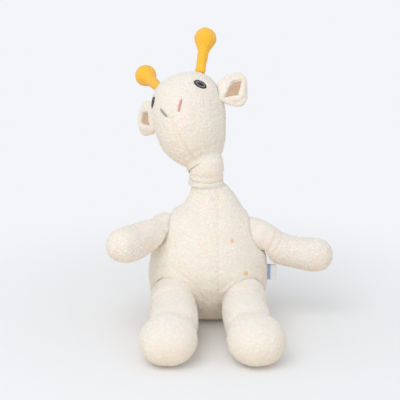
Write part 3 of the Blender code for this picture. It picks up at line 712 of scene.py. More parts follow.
def turned(degrees: float, axis: str) -> Matrix:
    """Rotation about a main axis."""
    return Matrix.Rotation(math.radians(degrees), 4, axis)


def into(points: Array, frame: Matrix) -> Array:
    """Places in a frame's own coordinates."""
    return out_of(points, frame.inverted())


def out_of(points: Array, frame: Matrix) -> Array:
    """Places in the row frame, from a frame's own coordinates."""
    matrix = np.array(frame)
    return points @ matrix[:3, :3].T + matrix[:3, 3]


def from_top(local: Array) -> Array:
    """Angle of each place from its frame's Z, in degrees."""
    upward = local[:, 2] / np.maximum(np.linalg.norm(local, axis=1), TINY)
    return np.degrees(np.arccos(np.clip(upward, -1, 1)))


POSTURE = Posture()


@dataclass(frozen=True)
class Ball:
    """A sewn joint: its name, and the radius in which the fabric is held."""

    joint: str
    radius: float

    def centre(self) -> Array:
        """Place of the joint."""
        return np.array(POSTURE.joint(self.joint))

    def away(self, points: Array) -> Array:
        """Distance of each point from the ball's surface."""
        return far_from(points, self.centre()) - self.radius


@dataclass
class Cloud:
    """A form's points while it is being sculpted."""

    points: Array
    normals: Array
    # crease holds the painted shade in seams, folds and gathers, from 0 to 1.
    crease: Array
    calm: Array
    seed: int

    def uneven(self, size: float, number: int) -> Array:
        """One of the form's own noises, with lumps of about one size."""
        return unevenness(self.points, size, self.seed + number)

    def push(self, amount: Array) -> None:
        """Move the points outwards."""
        self.points = self.points + self.normals * amount[:, None]

    def paint_shade(self, amount: Array) -> None:
        """Paint shade on the points, at least this dark, as at the bottom of a crease."""
        self.crease = np.maximum(self.crease, amount)

    def soothe(self, amount: Array) -> None:
        """Mark the points as having at least so little pile."""
        self.calm = np.maximum(self.calm, amount)

    def groove(self, distance: Array, where: Array, depth: float, width: float, dark: float = 0.25) -> None:
        """Sink a seam along the line where a distance is nought.

        Args:
            distance: signed distance of each point from the seam.
            where: mask, from 0 to 1, of the part that has the seam.
            depth: depth of the groove.
            width: half width of the groove.
            dark: how dark the painted shade at its bottom is, from 0 to 1.
        """
        sharp = bell(distance, width) * where
        broad = bell(distance, 3 * width) * where
        self.push(-depth * (0.6 * sharp + 0.4 * broad))
        self.paint_shade(dark * sharp)


@dataclass
class StuffedForm:
    """A fleece skin and its stuffing as one closed, puffed form."""

    name: str
    body: str
    stands_for: tuple[str, ...]
    filled_by: tuple[str, ...] = ()
    balls: tuple[Ball, ...] = ()
    voxel: float = 0.0026
    swell: float = 0.0022
    pressure: float = 4.0
    cloth_frames: int = 20
    fill: float = 0.8
    passes: int = 14
    fine: bool = True
    hold: Window = (0.0005, 0.006)
    held_share: float = 0.25
    calm_height: float = 0.75
    pile: Pile = Pile()
    seed: int = 3
    slot: Slot = Slot.FLEECE
    surface: BVHTree | None = None

    def build(self, wardrobe: Wardrobe) -> Item:
        """Make the form, from the solids' shape to its finished pile.

        Args:
            wardrobe: the toy's finishes.

        Returns:
            The finished piece.
        """
        item = copied(self.name, self.stands_for + self.filled_by)
        self.fill_hollows(item)
        remesh(item, self.voxel)
        even_out(item, self.passes, self.giving(points_of(item)))
        self.puff(item)
        even_out(item, 2)
        self.shape(item)
        subdivide(item)
        self.crease(item)
        if self.fine:
            subdivide(item)
        self.surface = BVHTree.FromObject(item, bpy.context.evaluated_depsgraph_get())
        self.raise_pile(item)
        self.close_up(item)
        return wardrobe.dress(item, self.body, self.finish(wardrobe), self.stands_for)

    def finish(self, wardrobe: Wardrobe) -> Finish:
        """The finish that this form wears."""
        return wardrobe.fleece

    def loose(self, points: Array) -> Array:
        """How free the fabric is, from 0 at its joints to 1 away from them."""
        free = np.ones(len(points))
        for ball in self.balls:
            free = np.minimum(free, ramp(ball.away(points), *self.hold))
        return free

    def giving(self, points: Array) -> Array:
        """How far the fabric gives: a little at its joints and fully away from them."""
        return self.held_share + (1 - self.held_share) * self.loose(points)

    def standing(self, points: Array) -> Array:
        """How tall the pile stands at each point, from 0 to 1."""
        return self.giving(points)

    def fill_hollows(self, item: Item) -> None:
        """Close any opening that the remesh shouldn't follow."""

    def puff(self, item: Item) -> None:
        """Blow the form up as cloth, held at its joints, and cap how far it moves.

        Args:
            item: the form, remeshed and smoothed.
        """
        before = points_of(item)
        free = self.loose(before)
        held = item.vertex_groups.new(name="held")
        held.add([int(number) for number in np.flatnonzero(free < self.held_share)], 1.0, "REPLACE")
        cloth = item.modifiers.new("cloth", "CLOTH")
        cloth.settings.use_pressure = True
        cloth.settings.uniform_pressure_force = self.pressure
        cloth.settings.effector_weights.gravity = 0
        cloth.settings.vertex_group_mass = held.name
        cloth.settings.quality = 4
        scene = bpy.context.scene
        for number in range(self.cloth_frames):
            scene.frame_set(number + 1)
        only(item)
        bpy.ops.object.modifier_apply(modifier=cloth.name)
        scene.frame_set(1)
        item.vertex_groups.clear()
        moved = points_of(item) - before
        length = np.linalg.norm(moved, axis=1)
        share = np.minimum(1, self.swell / np.maximum(length, 1e-9)) * free
        put_points(item, before + moved * share[:, None])

    def shape(self, item: Item) -> None:
        """Broad changes of form, on the coarse mesh."""

    def crease(self, item: Item) -> None:
        """Seams and folds, on the mesh before its last subdivision, with their painted shade kept for the
        materials.
        """
        cloud = self.cloud(item)
        self.sew(cloud)
        put_points(item, cloud.points)
        # Painted shade in seams, folds and gathers, read by the materials.
        keep(item, "crease", cloud.crease)
        keep(item, "calm", cloud.calm)

    def cloud(self, item: Item) -> Cloud:
        """The form's points, ready to be sculpted."""
        points = points_of(item)
        return Cloud(points, normals_of(item), np.zeros(len(points)), np.zeros(len(points)), self.seed)

    def sew(self, cloud: Cloud) -> None:
        """Draw in this form's own seams and folds."""

    def rings(self, cloud: Cloud, ball: Ball, reach: float, spacing: float, depth: float) -> None:
        """Gathers that run round a sewn joint and die away from it.

        Args:
            cloud: the form's points.
            ball: the joint.
            reach: how far the gathers go.
            spacing: from one gather to the next.
            depth: depth of a gather.
        """
        away = ball.away(cloud.points)
        bent = away + 0.5 * spacing * cloud.uneven(2.6 * spacing, 21)
        broken = np.clip(0.55 + 0.9 * cloud.uneven(3.4 * spacing, 22), 0, 1)
        window = between(away, (0.0005, 0.25 * reach), (0.35 * reach, reach)) * broken
        wave = 0.5 - 0.5 * np.cos(2 * math.pi * bent / spacing)
        cloud.push(-depth * wave * window)
        # Painted shade in the bottoms of the gathers.
        cloud.paint_shade(0.35 * wave ** 4 * window)

    def raise_pile(self, item: Item) -> None:
        """Lift the curls, low at the joints and under the embroidery.

        Args:
            item: the form at its last subdivision.
        """
        points, normals = points_of(item), normals_of(item)
        calm = np.empty(len(points), dtype=np.float32)
        item.data.attributes["calm"].data.foreach_get("value", calm)
        heights = self.pile.heights(points, self.seed)
        amount = self.pile.height * heights * self.standing(points) * (1 - calm)
        put_points(item, points + normals * amount[:, None])
        # The kept pile heights set the fleece's painted shade between the curls.
        keep(item, "pile", heights * (1 - calm) + self.calm_height * calm)

    def close_up(self, item: Item) -> None:
        """Last changes to the finished mesh."""


@dataclass
class Torso(StuffedForm):
    """The pear of the body, flat on its seat, with the neck's ball on top."""

    voxel: float = 0.0025
    seat: float = 0.0015
    band_node: str = "neck_gather"
    ball_radius: float = 0.0165
    column_radius: float = 0.0169
    collar_radius: float = 0.0178
    sweep_radius: float = 0.0196
    rim_angles: Window = (79.0, 86.0)
    chin_delay: float = 12.0
    chin_side: Window = (0.001, 0.013)
    chin_front: Window = (-0.010, 0.002)
    seam_start: Window = (0.006, 0.016)
    seam_across: float = 0.0095
    seam_depth: float = 0.0007
    back_share: float = 0.7
    seam_width: float = 0.0014
    front_half: Window = (0.002, 0.010)
    back_half: Window = (0.004, 0.012)
    flanks: Window = (0.012, 0.02)
    flank_top: Window = (0.118, 0.126)
    belly: Place = (0.0040, -0.0600, 0.0170)
    belly_swell: float = 0.0045
    belly_size: float = 0.017
    hip_gathers: Gathers = (0.018, 0.0065, 0.0010)
    shoulder_fill: dict = field(default_factory=lambda: {Side.LEFT: 0.0018, Side.RIGHT: 0.0046})
    shoulder_size: float = 0.0100
    lip_fill: float = 0.0012
    lip_width: float = 0.0026
    edge_place: float = 0.0016
    edge_width: float = 0.0018
    tighten: float = 0.0018
    high_tighten: float = 0.0026
    flare: float = 0.0028
    flare_height: float = 0.1260
    flare_size: float = 0.018
    tuck: float = 0.1530
    tuck_depth: float = 0.0007
    pleats: int = 15
    pleat_depth: float = 0.0003
    neck_reach: float = 0.0160
    band_radius: float = 0.0128
    spot_margin: float = 0.0012

    def band(self) -> Window:
        """Lower and upper height of the gathered band."""
        low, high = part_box(self.band_node)
        return low.z, high.z

    def loose(self, points: Array) -> Array:
        """The seat stays flat as well."""
        return np.minimum(super().loose(points), ramp(points[:, 2], self.seat, 6 * self.seat))

    def bare(self, points: Array) -> Array:
        """Mask of what the head's sleeve leaves uncovered.

        Args:
            points: places on the torso.

        Returns:
            A value from 0 under the sleeve to 1 below its rim.
        """
        neck = POSTURE.joint("head_tilt")
        chin = ramp(neck.x - points[:, 0], *self.chin_side) * ramp(neck.y - points[:, 1], *self.chin_front)
        polar = from_top(into(points, POSTURE.head()))
        return ramp(polar - self.chin_delay * chin, *self.rim_angles)

    def standing(self, points: Array) -> Array:
        """The neck has its full pile below the sleeve."""
        return np.maximum(super().standing(points), self.bare(points) * (points[:, 2] > self.band()[1]))

    def shape(self, item: Item) -> None:
        """Round the neck's ball out to fill the head's sleeve, and fill the neck below it.

        Args:
            item: the torso's coarse mesh.
        """
        points, neck = points_of(item), np.array(POSTURE.joint("head_tilt"))
        offset = points - neck
        radius = np.maximum(np.linalg.norm(offset, axis=1), TINY)
        top = self.band()[1]
        flat = np.maximum(np.hypot(offset[:, 0], offset[:, 1]) / radius, TINY)
        wider = self.collar_radius - self.ball_radius
        collar = self.ball_radius + wider * ramp(-offset[:, 1], -0.006, 0.006)
        column = np.clip(self.column_radius / flat, collar, self.sweep_radius)
        target = self.ball_radius + self.bare(points) * (column - self.ball_radius)
        share = ramp(points[:, 2], top, top + 0.0012) * (radius < 1.25 * self.ball_radius)
        grown = 1 + share * (target / radius - 1)
        put_points(item, neck + offset * grown[:, None])

    def sew(self, cloud: Cloud) -> None:
        """Front, back and side seams, the fill at the limbs, and the neck's pleats, with painted shade in
        the seams and pleats.

        Args:
            cloud: the torso's points.
        """
        x, y, z = cloud.points.T
        band_low, band_high = self.band()
        low = between(z, self.seam_start, (band_low - 0.006, band_low))
        wander = 0.0008 * unevenness(cloud.points * (0, 0, 1), 0.02, self.seed + 30)
        front, back = low * ramp(-y, *self.front_half), low * ramp(y, *self.back_half)
        sides = low * ramp(np.abs(x), *self.flanks) * (1 - ramp(z, *self.flank_top))
        cloud.groove(x - self.seam_across + wander, front, self.seam_depth, self.seam_width)
        cloud.groove(x + wander, back, self.back_share * self.seam_depth, self.seam_width)
        cloud.groove(y - 0.001 + wander, sides, self.back_share * self.seam_depth, self.seam_width)
        cloud.push(0.0009 * cloud.uneven(0.026, 31) * self.loose(cloud.points))
        away = np.linalg.norm((cloud.points - self.belly) * (1.0, 0.5, 0.9), axis=1)
        cloud.push(self.belly_swell * bell(away, self.belly_size) * self.loose(cloud.points))
        for ball in self.balls[1:]:
            self.fill_round(cloud, ball, z)
        right_side = ramp(cloud.normals[:, 0], 0.2, 0.9) * (1 - ramp(z, band_low - 0.004, band_low))
        cloud.push(self.flare * bell(z - self.flare_height, self.flare_size) * right_side)
        under_chin = self.bare(cloud.points) * ramp(-y, -0.010, 0.004)
        bent = z - self.tuck - 0.0012 * cloud.uneven(0.012, 34)
        # Painted shade in the tuck under the chin.
        cloud.groove(bent, under_chin, self.tuck_depth, 0.0010, dark=0.2)
        neck = POSTURE.joint("head_tilt")
        angle = np.arctan2(y - neck.y, x - neck.x) + 0.12 * cloud.uneven(0.012, 32)
        fold = pleated(angle, self.pleats)
        window = bell(z - band_low, self.neck_reach) * (1 - ramp(z, band_high, band_high + 0.004))
        cloud.push(-self.pleat_depth * fold * window)
        # Painted shade in the pleats.
        cloud.paint_shade(0.10 * fold ** 3 * window)
        radius = np.maximum(np.hypot(x - neck.x, y - neck.y), TINY)
        inside = between(z, (band_low, band_low + 0.0010), (band_high - 0.0010, band_high))
        share = 1 - inside * np.clip(1 - self.band_radius / radius, 0, 1)
        for axis in range(2):
            cloud.points[:, axis] = neck[axis] + (cloud.points[:, axis] - neck[axis]) * share
        for spot in SPOTS:
            away = far_from(cloud.points, spot.place())
            cloud.soothe(1 - ramp(away, spot.radius, spot.radius + self.spot_margin))

    def fill_round(self, cloud: Cloud, ball: Ball, height: Array) -> None:
        """Gather a hip, or fill a shoulder, and draw the lip in against the limb's root.

        Args:
            cloud: the torso's points.
            ball: the limb's joint.
            height: height of each point before anything was sewn.
        """
        above = height - POSTURE.joint(ball.joint).z
        if "leg" in ball.joint:
            self.rings(cloud, ball, *self.hip_gathers)
        else:
            side = Side(ball.joint.split("_")[0])
            away = ball.away(cloud.points)
            crown = ramp(above, -0.008, 0.012) * ramp(away, -0.0006, 0.0008)
            cloud.push(self.shoulder_fill[side] * bell(away - 0.002, self.shoulder_size) * crown)
        cloud.push(self.lip_fill * bell(ball.away(cloud.points) - self.lip_width, self.lip_width))
        toward = ball.centre() - cloud.points
        toward /= np.linalg.norm(toward, axis=1)[:, None]
        snug = np.full(len(height), self.tighten)
        if ball.joint == "right_arm_lift":
            snug = snug + self.high_tighten * ramp(above, 0.002, 0.012)
        edge = bell(ball.away(cloud.points) - self.edge_place, self.edge_width)
        cloud.points = cloud.points + toward * (snug * edge)[:, None]

    def close_up(self, item: Item) -> None:
        """Press the seat flat on the floor."""
        press_flat(item)


@dataclass
class Head(StuffedForm):
    """The egg of the head, sleeved over the ball of the neck."""

    voxel: float = 0.0024
    swell: float = 0.0010
    seed: int = 4
    socket_radius: float = 0.0172
    rim_height: float = 0.0006
    sleeve_radius: float = 0.0192
    lip_radius: float = 0.0180
    horn_hold: Window = (0.0065, 0.0095)
    ear_hold: Window = (0.0080, 0.0120)
    seam_depth: float = 0.0009
    seam_width: float = 0.0012
    jaw: Place = (-0.0270, -0.0150, 0.0270)
    jaw_size: float = 0.022
    jaw_swell: float = 0.0042
    crown: Place = (0.0000, -0.0120, 0.1000)
    crown_size: float = 0.032
    crown_sink: float = 0.0016
    neck_gathers: Gathers = (0.020, 0.0065, 0.0008)
    pleats: int = 15
    pleat_depth: float = 0.0006
    mouth: Place = (0.0000, -0.0450, 0.0500)
    mouth_sink: float = 0.0009
    mouth_size: float = 0.0045
    smile_drop: float = 0.0036
    smile_sag: float = 0.0016
    smile_depth: float = 0.0007
    smile_width: float = 0.0008
    stitch_sink: float = 0.0004

    def rim(self) -> float:
        """Angle from the crown's direction to the sleeve's rim."""
        return math.acos(self.rim_height / self.socket_radius)

    def fill_hollows(self, item: Item) -> None:
        """Fill the sleeve's socket, which is opened again at the end."""
        size = {"radius": self.socket_radius, "location": POSTURE.joint("head_tilt")}
        ball = started("socket", bpy.ops.mesh.primitive_uv_sphere_add, segments=48, ring_count=24, **size)
        only(item, ball)
        bpy.ops.object.join()

    def loose(self, points: Array) -> Array:
        """The horns and ears hold the fabric as well, each over its own small root."""
        free = super().loose(points)
        for side in Side:
            for root, hold in (("horn_bend", self.horn_hold), ("ear_flap", self.ear_hold)):
                away = far_from(points, POSTURE.joint(side.of(root)))
                free = np.minimum(free, 0.2 + 0.8 * ramp(away, *hold))
        return free

    def shape(self, item: Item) -> None:
        """Fill out the jaw on the side the head hangs to, flatten the crown and round the sleeve.

        Args:
            item: the head's coarse mesh.
        """
        cloud, head = self.cloud(item), POSTURE.head()
        local = into(cloud.points, head)
        free = self.loose(cloud.points)
        cloud.push(self.jaw_swell * free * bell(far_from(local, self.jaw), self.jaw_size))
        cloud.push(-self.crown_sink * free * bell(far_from(local, self.crown), self.crown_size))
        local = into(cloud.points, head)
        radius = np.maximum(np.linalg.norm(local, axis=1), TINY)
        polar, rim = from_top(local), math.degrees(self.rim())
        outer = self.sleeve_radius + (self.lip_radius - self.sleeve_radius) * ramp(polar, rim - 8, rim)
        share = ramp(polar, 58, 68) * (polar <= rim)
        grown = 1 + share * np.maximum(0, outer / radius - 1)
        put_points(item, out_of(local * grown[:, None], head))

    def sew(self, cloud: Cloud) -> None:
        """The chin seam, the seam over the back, the neck's gathers and the calm under the stitches, with
        painted shade in the seams, gathers, pleats and mouth's fold.

        Args:
            cloud: the head's points.
        """
        local = into(cloud.points, POSTURE.head())
        x, y, z = local.T
        free = self.loose(cloud.points)
        across = x + 0.0007 * unevenness(local * (0, 0, 1), 0.017, self.seed + 30)
        chin = ramp(-y, 0.004, 0.012) * (1 - ramp(z, 0.040, 0.056)) * ramp(z, self.rim_height, 0.009)
        deepest = chin * (1 - ramp(z, 0.006, 0.034))
        back = ramp(y, 0.004, 0.012) * ramp(z, self.rim_height, 0.012)
        # Painted shade in the seams, darkest low on the chin where its seam is deepest.
        for where, share, dark in ((chin, 1.0, 0.25), (deepest, 0.5, 0.8), (back, 0.7, 0.25)):
            cloud.groove(across, where, share * self.seam_depth, self.seam_width, dark)
        cloud.push(0.0007 * free * cloud.uneven(0.022, 31))
        self.rings(cloud, self.balls[0], *self.neck_gathers)
        angle = np.arctan2(y, x) + 0.10 * cloud.uneven(0.010, 32)
        away = self.balls[0].away(cloud.points)
        window = between(away, (0.0010, 0.0030), (0.008, 0.020)) * (1 - ramp(z, 0.012, 0.030))
        fold = pleated(angle, self.pleats)
        cloud.push(-self.pleat_depth * fold * window)
        # Painted shade in the pleats.
        cloud.paint_shade(0.30 * fold ** 3 * window)
        lips = np.linalg.norm((local - self.mouth) * (0.35, 1, 1.6), axis=1)
        cloud.push(-self.mouth_sink * bell(lips, self.mouth_size))
        # Painted shade in the mouth's fold.
        cloud.groove(*self.smile(cloud.points), self.smile_depth, self.smile_width, dark=0.55)
        for side in Side:
            for feature, reach in (("eye", 1.12), ("nostril", 1.30)):
                calm = 1 - ramp(STITCHED[feature].oval(side, cloud.points), reach, reach + 0.30)
                cloud.push(-self.stitch_sink * calm)
                cloud.soothe(calm)

    def smile(self, points: Array) -> tuple[Array, Array]:
        """The mouth's fold, which hangs between the nostrils' lower ends.

        Args:
            points: places on the head.

        Returns:
            The distance of each place from the fold, and the fold's mask.
        """
        patch = STITCHED["nostril"]
        ends, outward = [], np.zeros(3)
        for side in (Side.RIGHT, Side.LEFT):
            centre, long, _, out = patch.basis(side)
            ends.append(centre - math.copysign(patch.half_length, patch.slant[side]) * long)
            outward += out / 2
        outward /= np.linalg.norm(outward)
        upward = np.array(POSTURE.head().to_3x3() @ Vector((0, 0, 1)))
        start = ends[0]
        line = ends[1] - self.smile_drop * upward - start
        line -= outward * (line @ outward)
        across = np.cross(outward, line) / np.linalg.norm(line)
        offset = points - start
        share = (offset @ line) / (line @ line)
        sag = 4 * self.smile_sag * share * (1 - share)
        sagged = (offset @ across) * math.copysign(1, across @ upward) + sag
        within = between(share, (-0.05, 0.08), (0.80, 1.05)) * (offset @ outward > -0.010)
        return sagged, within

    def close_up(self, item: Item) -> None:
        """Turn the filled bottom in, to open the socket for the neck's ball.

        Args:
            item: the head's finished mesh.
        """
        local = into(points_of(item), POSTURE.head())
        radius = np.linalg.norm(local, axis=1)
        rim = self.rim()
        polar = np.arccos(np.clip(local[:, 2] / np.maximum(radius, 1e-9), -1, 1))
        under = (polar > rim) & (radius < self.socket_radius + 0.0022)
        inward = rim * (math.pi - polar) / (math.pi - rim)
        around = np.arctan2(local[:, 1], local[:, 0])
        turns = (np.sin(inward) * np.cos(around), np.sin(inward) * np.sin(around), np.cos(inward))
        local[under] = (np.stack(turns, axis=1) * self.socket_radius)[under]
        put_points(item, out_of(local, POSTURE.head()))


@dataclass
class Limb(StuffedForm):
    """An arm or a leg, with the ball that is seated in the torso."""

    gather: float = 0.0008
    fold_spacing: float = 0.0060
    fold_reach: float = 0.016
    seam_side: Place = (0.0, 0.0, -1.0)
    seam_depth: float = 0.0007
    seam_width: float = 0.0013

    def axis(self, points: Array) -> tuple[Array, Array]:
        """The joint's place and the direction out along the limb."""
        start = self.balls[0].centre()
        away = far_from(points, start)
        tip = points[away > np.percentile(away, 90)].mean(axis=0)
        return start, (tip - start) / np.linalg.norm(tip - start)

    def sew(self, cloud: Cloud) -> None:
        """One long seam and the gathers round the joint.

        Args:
            cloud: the limb's points.
        """
        start, along = self.axis(cloud.points)
        offset = cloud.points - start
        side = np.array(self.seam_side)
        side = side - along * (side @ along)
        side = side / np.linalg.norm(side)
        across = offset @ np.cross(along, side) + 0.0008 * cloud.uneven(0.02, 30)
        where = ramp(offset @ side, 0.001, 0.005) * ramp(offset @ along, 0.010, 0.018)
        # The seam's groove has painted shade at its bottom.
        cloud.groove(across, where, self.seam_depth, self.seam_width)
        cloud.push(0.0008 * cloud.uneven(0.020, 31) * self.loose(cloud.points))
        self.rings(cloud, self.balls[0], self.fold_reach, self.fold_spacing, self.gather)


@dataclass
class Arm(Limb):
    """An arm, whose root's crown is lowered against the torso and whose tube sags."""

    voxel: float = 0.0024
    swell: float = 0.0012
    sag: float = 0.0
    root_sink: float = 0.0
    root_place: float = 0.0
    top_swell: float = 0.0
    underside_sink: float = 0.0

    def shape(self, item: Item) -> None:
        """Lower the root's crown against the torso, and shape the tube above and below.

        Args:
            item: the arm's coarse mesh.
        """
        cloud = self.cloud(item)
        start, along = self.axis(cloud.points)
        reach = (cloud.points - start) @ along
        upward = cloud.normals[:, 2]
        outer = ramp(reach, 0.008, 0.022)
        crown = ramp(upward, 0.0, 0.7) * ramp(reach, -0.012, -0.006)
        cloud.push(-self.root_sink * bell(reach - self.root_place, 0.0090) * crown)
        cloud.points[:, 2] -= self.sag * bell(reach - 0.030, 0.018) * outer
        cloud.push(self.top_swell * bell(reach - 0.036, 0.015) * (ramp(upward, 0.0, 0.8) * outer))
        cloud.push(-self.underside_sink * bell(reach - 0.024, 0.014) * (ramp(-upward, 0.0, 0.8) * outer))
        put_points(item, cloud.points)


@dataclass
class Leg(Limb):
    """A leg, pinched at the ankle, with a ball of a foot that stands on the floor."""

    voxel: float = 0.0027
    swell: float = 0.0016
    gather: float = 0.0011
    fold_spacing: float = 0.0070
    fold_reach: float = 0.024
    thicken: float = 0.0010
    lean: float = 0.0
    ankle: float = 0.066
    pinch: float = 0.0030
    foot: float = 0.084
    foot_swell: float = 0.0014
    root_radius: float = 0.0223
    sole: Window = (0.0008, 0.006)

    def loose(self, points: Array) -> Array:
        """The sole stays flat as well."""
        return np.minimum(super().loose(points), ramp(points[:, 2], *self.sole))

    def shape(self, item: Item) -> None:
        """Shape the tube, the ankle and the foot, and fill the root out against the torso.

        Args:
            item: the leg's coarse mesh.
        """
        cloud = self.cloud(item)
        start, along = self.axis(cloud.points)
        free = self.loose(cloud.points)
        around = 1 - np.abs(cloud.normals @ along)
        reach = (cloud.points - start) @ along
        tube = between(reach, (0.010, 0.028), (self.ankle - 0.004, self.ankle + 0.012))
        cloud.push(self.thicken * tube * np.abs(cloud.normals[:, 0]) * free)
        cloud.points[:, 0] += self.lean * tube
        cloud.push(-self.pinch * bell(reach - self.ankle, 0.0060) * around * free)
        cloud.push(self.foot_swell * bell(reach - self.foot, 0.016) * around * free)
        offset = cloud.points - start
        reach = offset @ along
        middle = np.outer(reach, along)
        beside = np.maximum(np.linalg.norm(offset - middle, axis=1), TINY)
        share = between(reach, (-0.004, 0.003), (0.012, 0.030))
        grown = 1 + share * np.maximum(0, self.root_radius / beside - 1)
        put_points(item, start + middle + (offset - middle) * grown[:, None])

    def sew(self, cloud: Cloud) -> None:
        """The seam and gathers of every limb, and the fold over the ankle."""
        start, along = self.axis(cloud.points)
        offset = cloud.points - start
        super().sew(cloud)
        across = offset @ along - self.ankle + 0.003 * cloud.uneven(0.015, 33)
        pinch = bell(across, 0.0017) * ramp(offset[:, 2], -0.012, 0.002)
        cloud.push(-0.0008 * pinch)
        # Painted shade in the fold over the ankle.
        cloud.paint_shade(0.20 * pinch)

    def close_up(self, item: Item) -> None:
        """Press the sole flat on the floor."""
        press_flat(item)


@dataclass
class Ear(StuffedForm):
    """A puffed fleece ear with a kite-shaped dish for its velour."""

    voxel: float = 0.0012
    swell: float = 0.0008
    fill: float = 0.5
    passes: int = 5
    pile: Pile = Pile(curl=0.0022, height=0.0006, fine_curl=0.0012)
    seed: int = 6
    side: Side = Side.LEFT
    length: float = 0.0250
    half_height: float = 0.0178
    bowl_depth: float = 0.0034
    bowl_share: float = 0.74
    bowl_centre_share: float = 0.56
    rim_swell: float = 0.0008
    dish: float = 0.0012
    base: float = 0.0030
    base_reach: float = 0.0045
    base_growth: float = 0.30

    def bowl(self, local: Array) -> Array:
        """Depth of the ear's hollow at each place."""
        centre, half = self.length * self.bowl_centre_share, self.bowl_share * self.length / 2
        across = (local[:, 0] * self.side.sign - centre) / half
        up = local[:, 2] / (self.bowl_share * self.half_height)
        return self.bowl_depth * np.sqrt(np.clip(1 - across ** 2 - up ** 2, 0, 1))

    def front(self, local: Array, normals: Array) -> Array:
        """Mask of the ear's front."""
        facing = into(normals, POSTURE.ear(self.side).to_3x3().to_4x4())[:, 1]
        return ramp(-facing, -0.2, 0.4) * ramp(-local[:, 1], -0.001, 0.0005)

    def shape(self, item: Item) -> None:
        """Fill the hollow with fleece and widen the ear's base."""
        cloud, frame = self.cloud(item), POSTURE.ear(self.side)
        local = into(cloud.points, frame)
        local[:, 1] -= self.bowl(local) * self.front(local, cloud.normals)
        out = self.side.sign * local[:, 0] - self.base
        local[:, 2] *= 1 + self.base_growth * bell(out, self.base_reach)
        put_points(item, out_of(local, frame))
        even_out(item, 3)

    def sew(self, cloud: Cloud) -> None:
        """Sink the kite into the front, with the fleece puffed round it and painted shade round its edge.
        """
        local = into(cloud.points, POSTURE.ear(self.side))
        outside = KITES[self.side].outside(local[:, [0, 2]])
        front = self.front(local, cloud.normals)
        sunk = self.dish * (1 - ramp(outside, 0.0, 0.0009))
        cloud.push((self.rim_swell * bell(outside - 0.003, 0.003) - sunk) * front)
        cloud.soothe((1 - ramp(outside, 0.0003, 0.0012)) * front)
        # Painted shade along the edge of the sunk kite.
        cloud.paint_shade(0.5 * bell(outside - 0.0005, 0.0006) * front)


@dataclass
class Horn(StuffedForm):
    """A slim orange horn with a ball at its tip and a seam up its side."""

    voxel: float = 0.0011
    swell: float = 0.0004
    passes: int = 6
    fine: bool = False
    pile: Pile = Pile(curl=0.0007, height=0.00008, fine_curl=0.0004)
    seed: int = 8
    slot: Slot = Slot.HORN
    side: Side = Side.LEFT
    waist: float = 0.0255
    puckers: int = 8
    pucker_depth: float = 0.00045
    stem: float = 0.0170
    stem_swell: float = 0.0008
    bulb_swell: float = 0.0005
    seam_angle: float = 20.0
    seam_size: float = 0.0006

    def finish(self, wardrobe: Wardrobe) -> Finish:
        """Horns are brushed orange felt."""
        return wardrobe.felt

    def sew(self, cloud: Cloud) -> None:
        """The side seam and the puckers where the ball begins.

        Args:
            cloud: the horn's points.
        """
        local = into(cloud.points, POSTURE.horn(self.side))
        x, y, up = local.T
        angle = math.radians(self.seam_angle)
        side = np.array((math.cos(angle), -math.sin(angle)))
        where = ramp(local[:, :2] @ side, 0.0005, 0.0025) * ramp(up, 0.002, 0.006)
        beside = local[:, :2] @ np.array((side[1], -side[0]))
        # The seam's groove has painted shade at its bottom.
        cloud.groove(beside + 0.0003 * cloud.uneven(0.006, 30), where, self.seam_size, self.seam_size)
        turn = np.arctan2(y, x) + 0.2 * cloud.uneven(0.005, 31)
        cloud.push(self.stem_swell * bell(up - self.stem, 0.009))
        cloud.push(self.bulb_swell * ramp(up, self.waist, self.waist + 0.010))
        fold = pleated(turn, self.puckers)
        cloud.push(-self.pucker_depth * fold * bell(up - self.waist, 0.0045))
        cloud.push(0.0003 * cloud.uneven(0.009, 32))


@dataclass
class Wad:
    """A ball of loose fill inside a sewn joint."""

    body: str
    voxel: float = 0.0016
    fibre_height: float = 0.0004

    def build(self, wardrobe: Wardrobe) -> Item:
        """Make the wad a little lumpy, with its fibres standing."""
        node = f"{self.body}_stuffing"
        item = copied(f"{self.body}_wad", (node,))
        remesh(item, self.voxel)
        even_out(item, 4)
        points = points_of(item)
        lumps = 0.5 + 0.5 * unevenness(points, 0.004, 5)
        put_points(item, points - normals_of(item) * (self.fibre_height * lumps)[:, None])
        keep(item, "crease", 1 - lumps)
        return wardrobe.dress(item, self.body, wardrobe.fill, (node,))


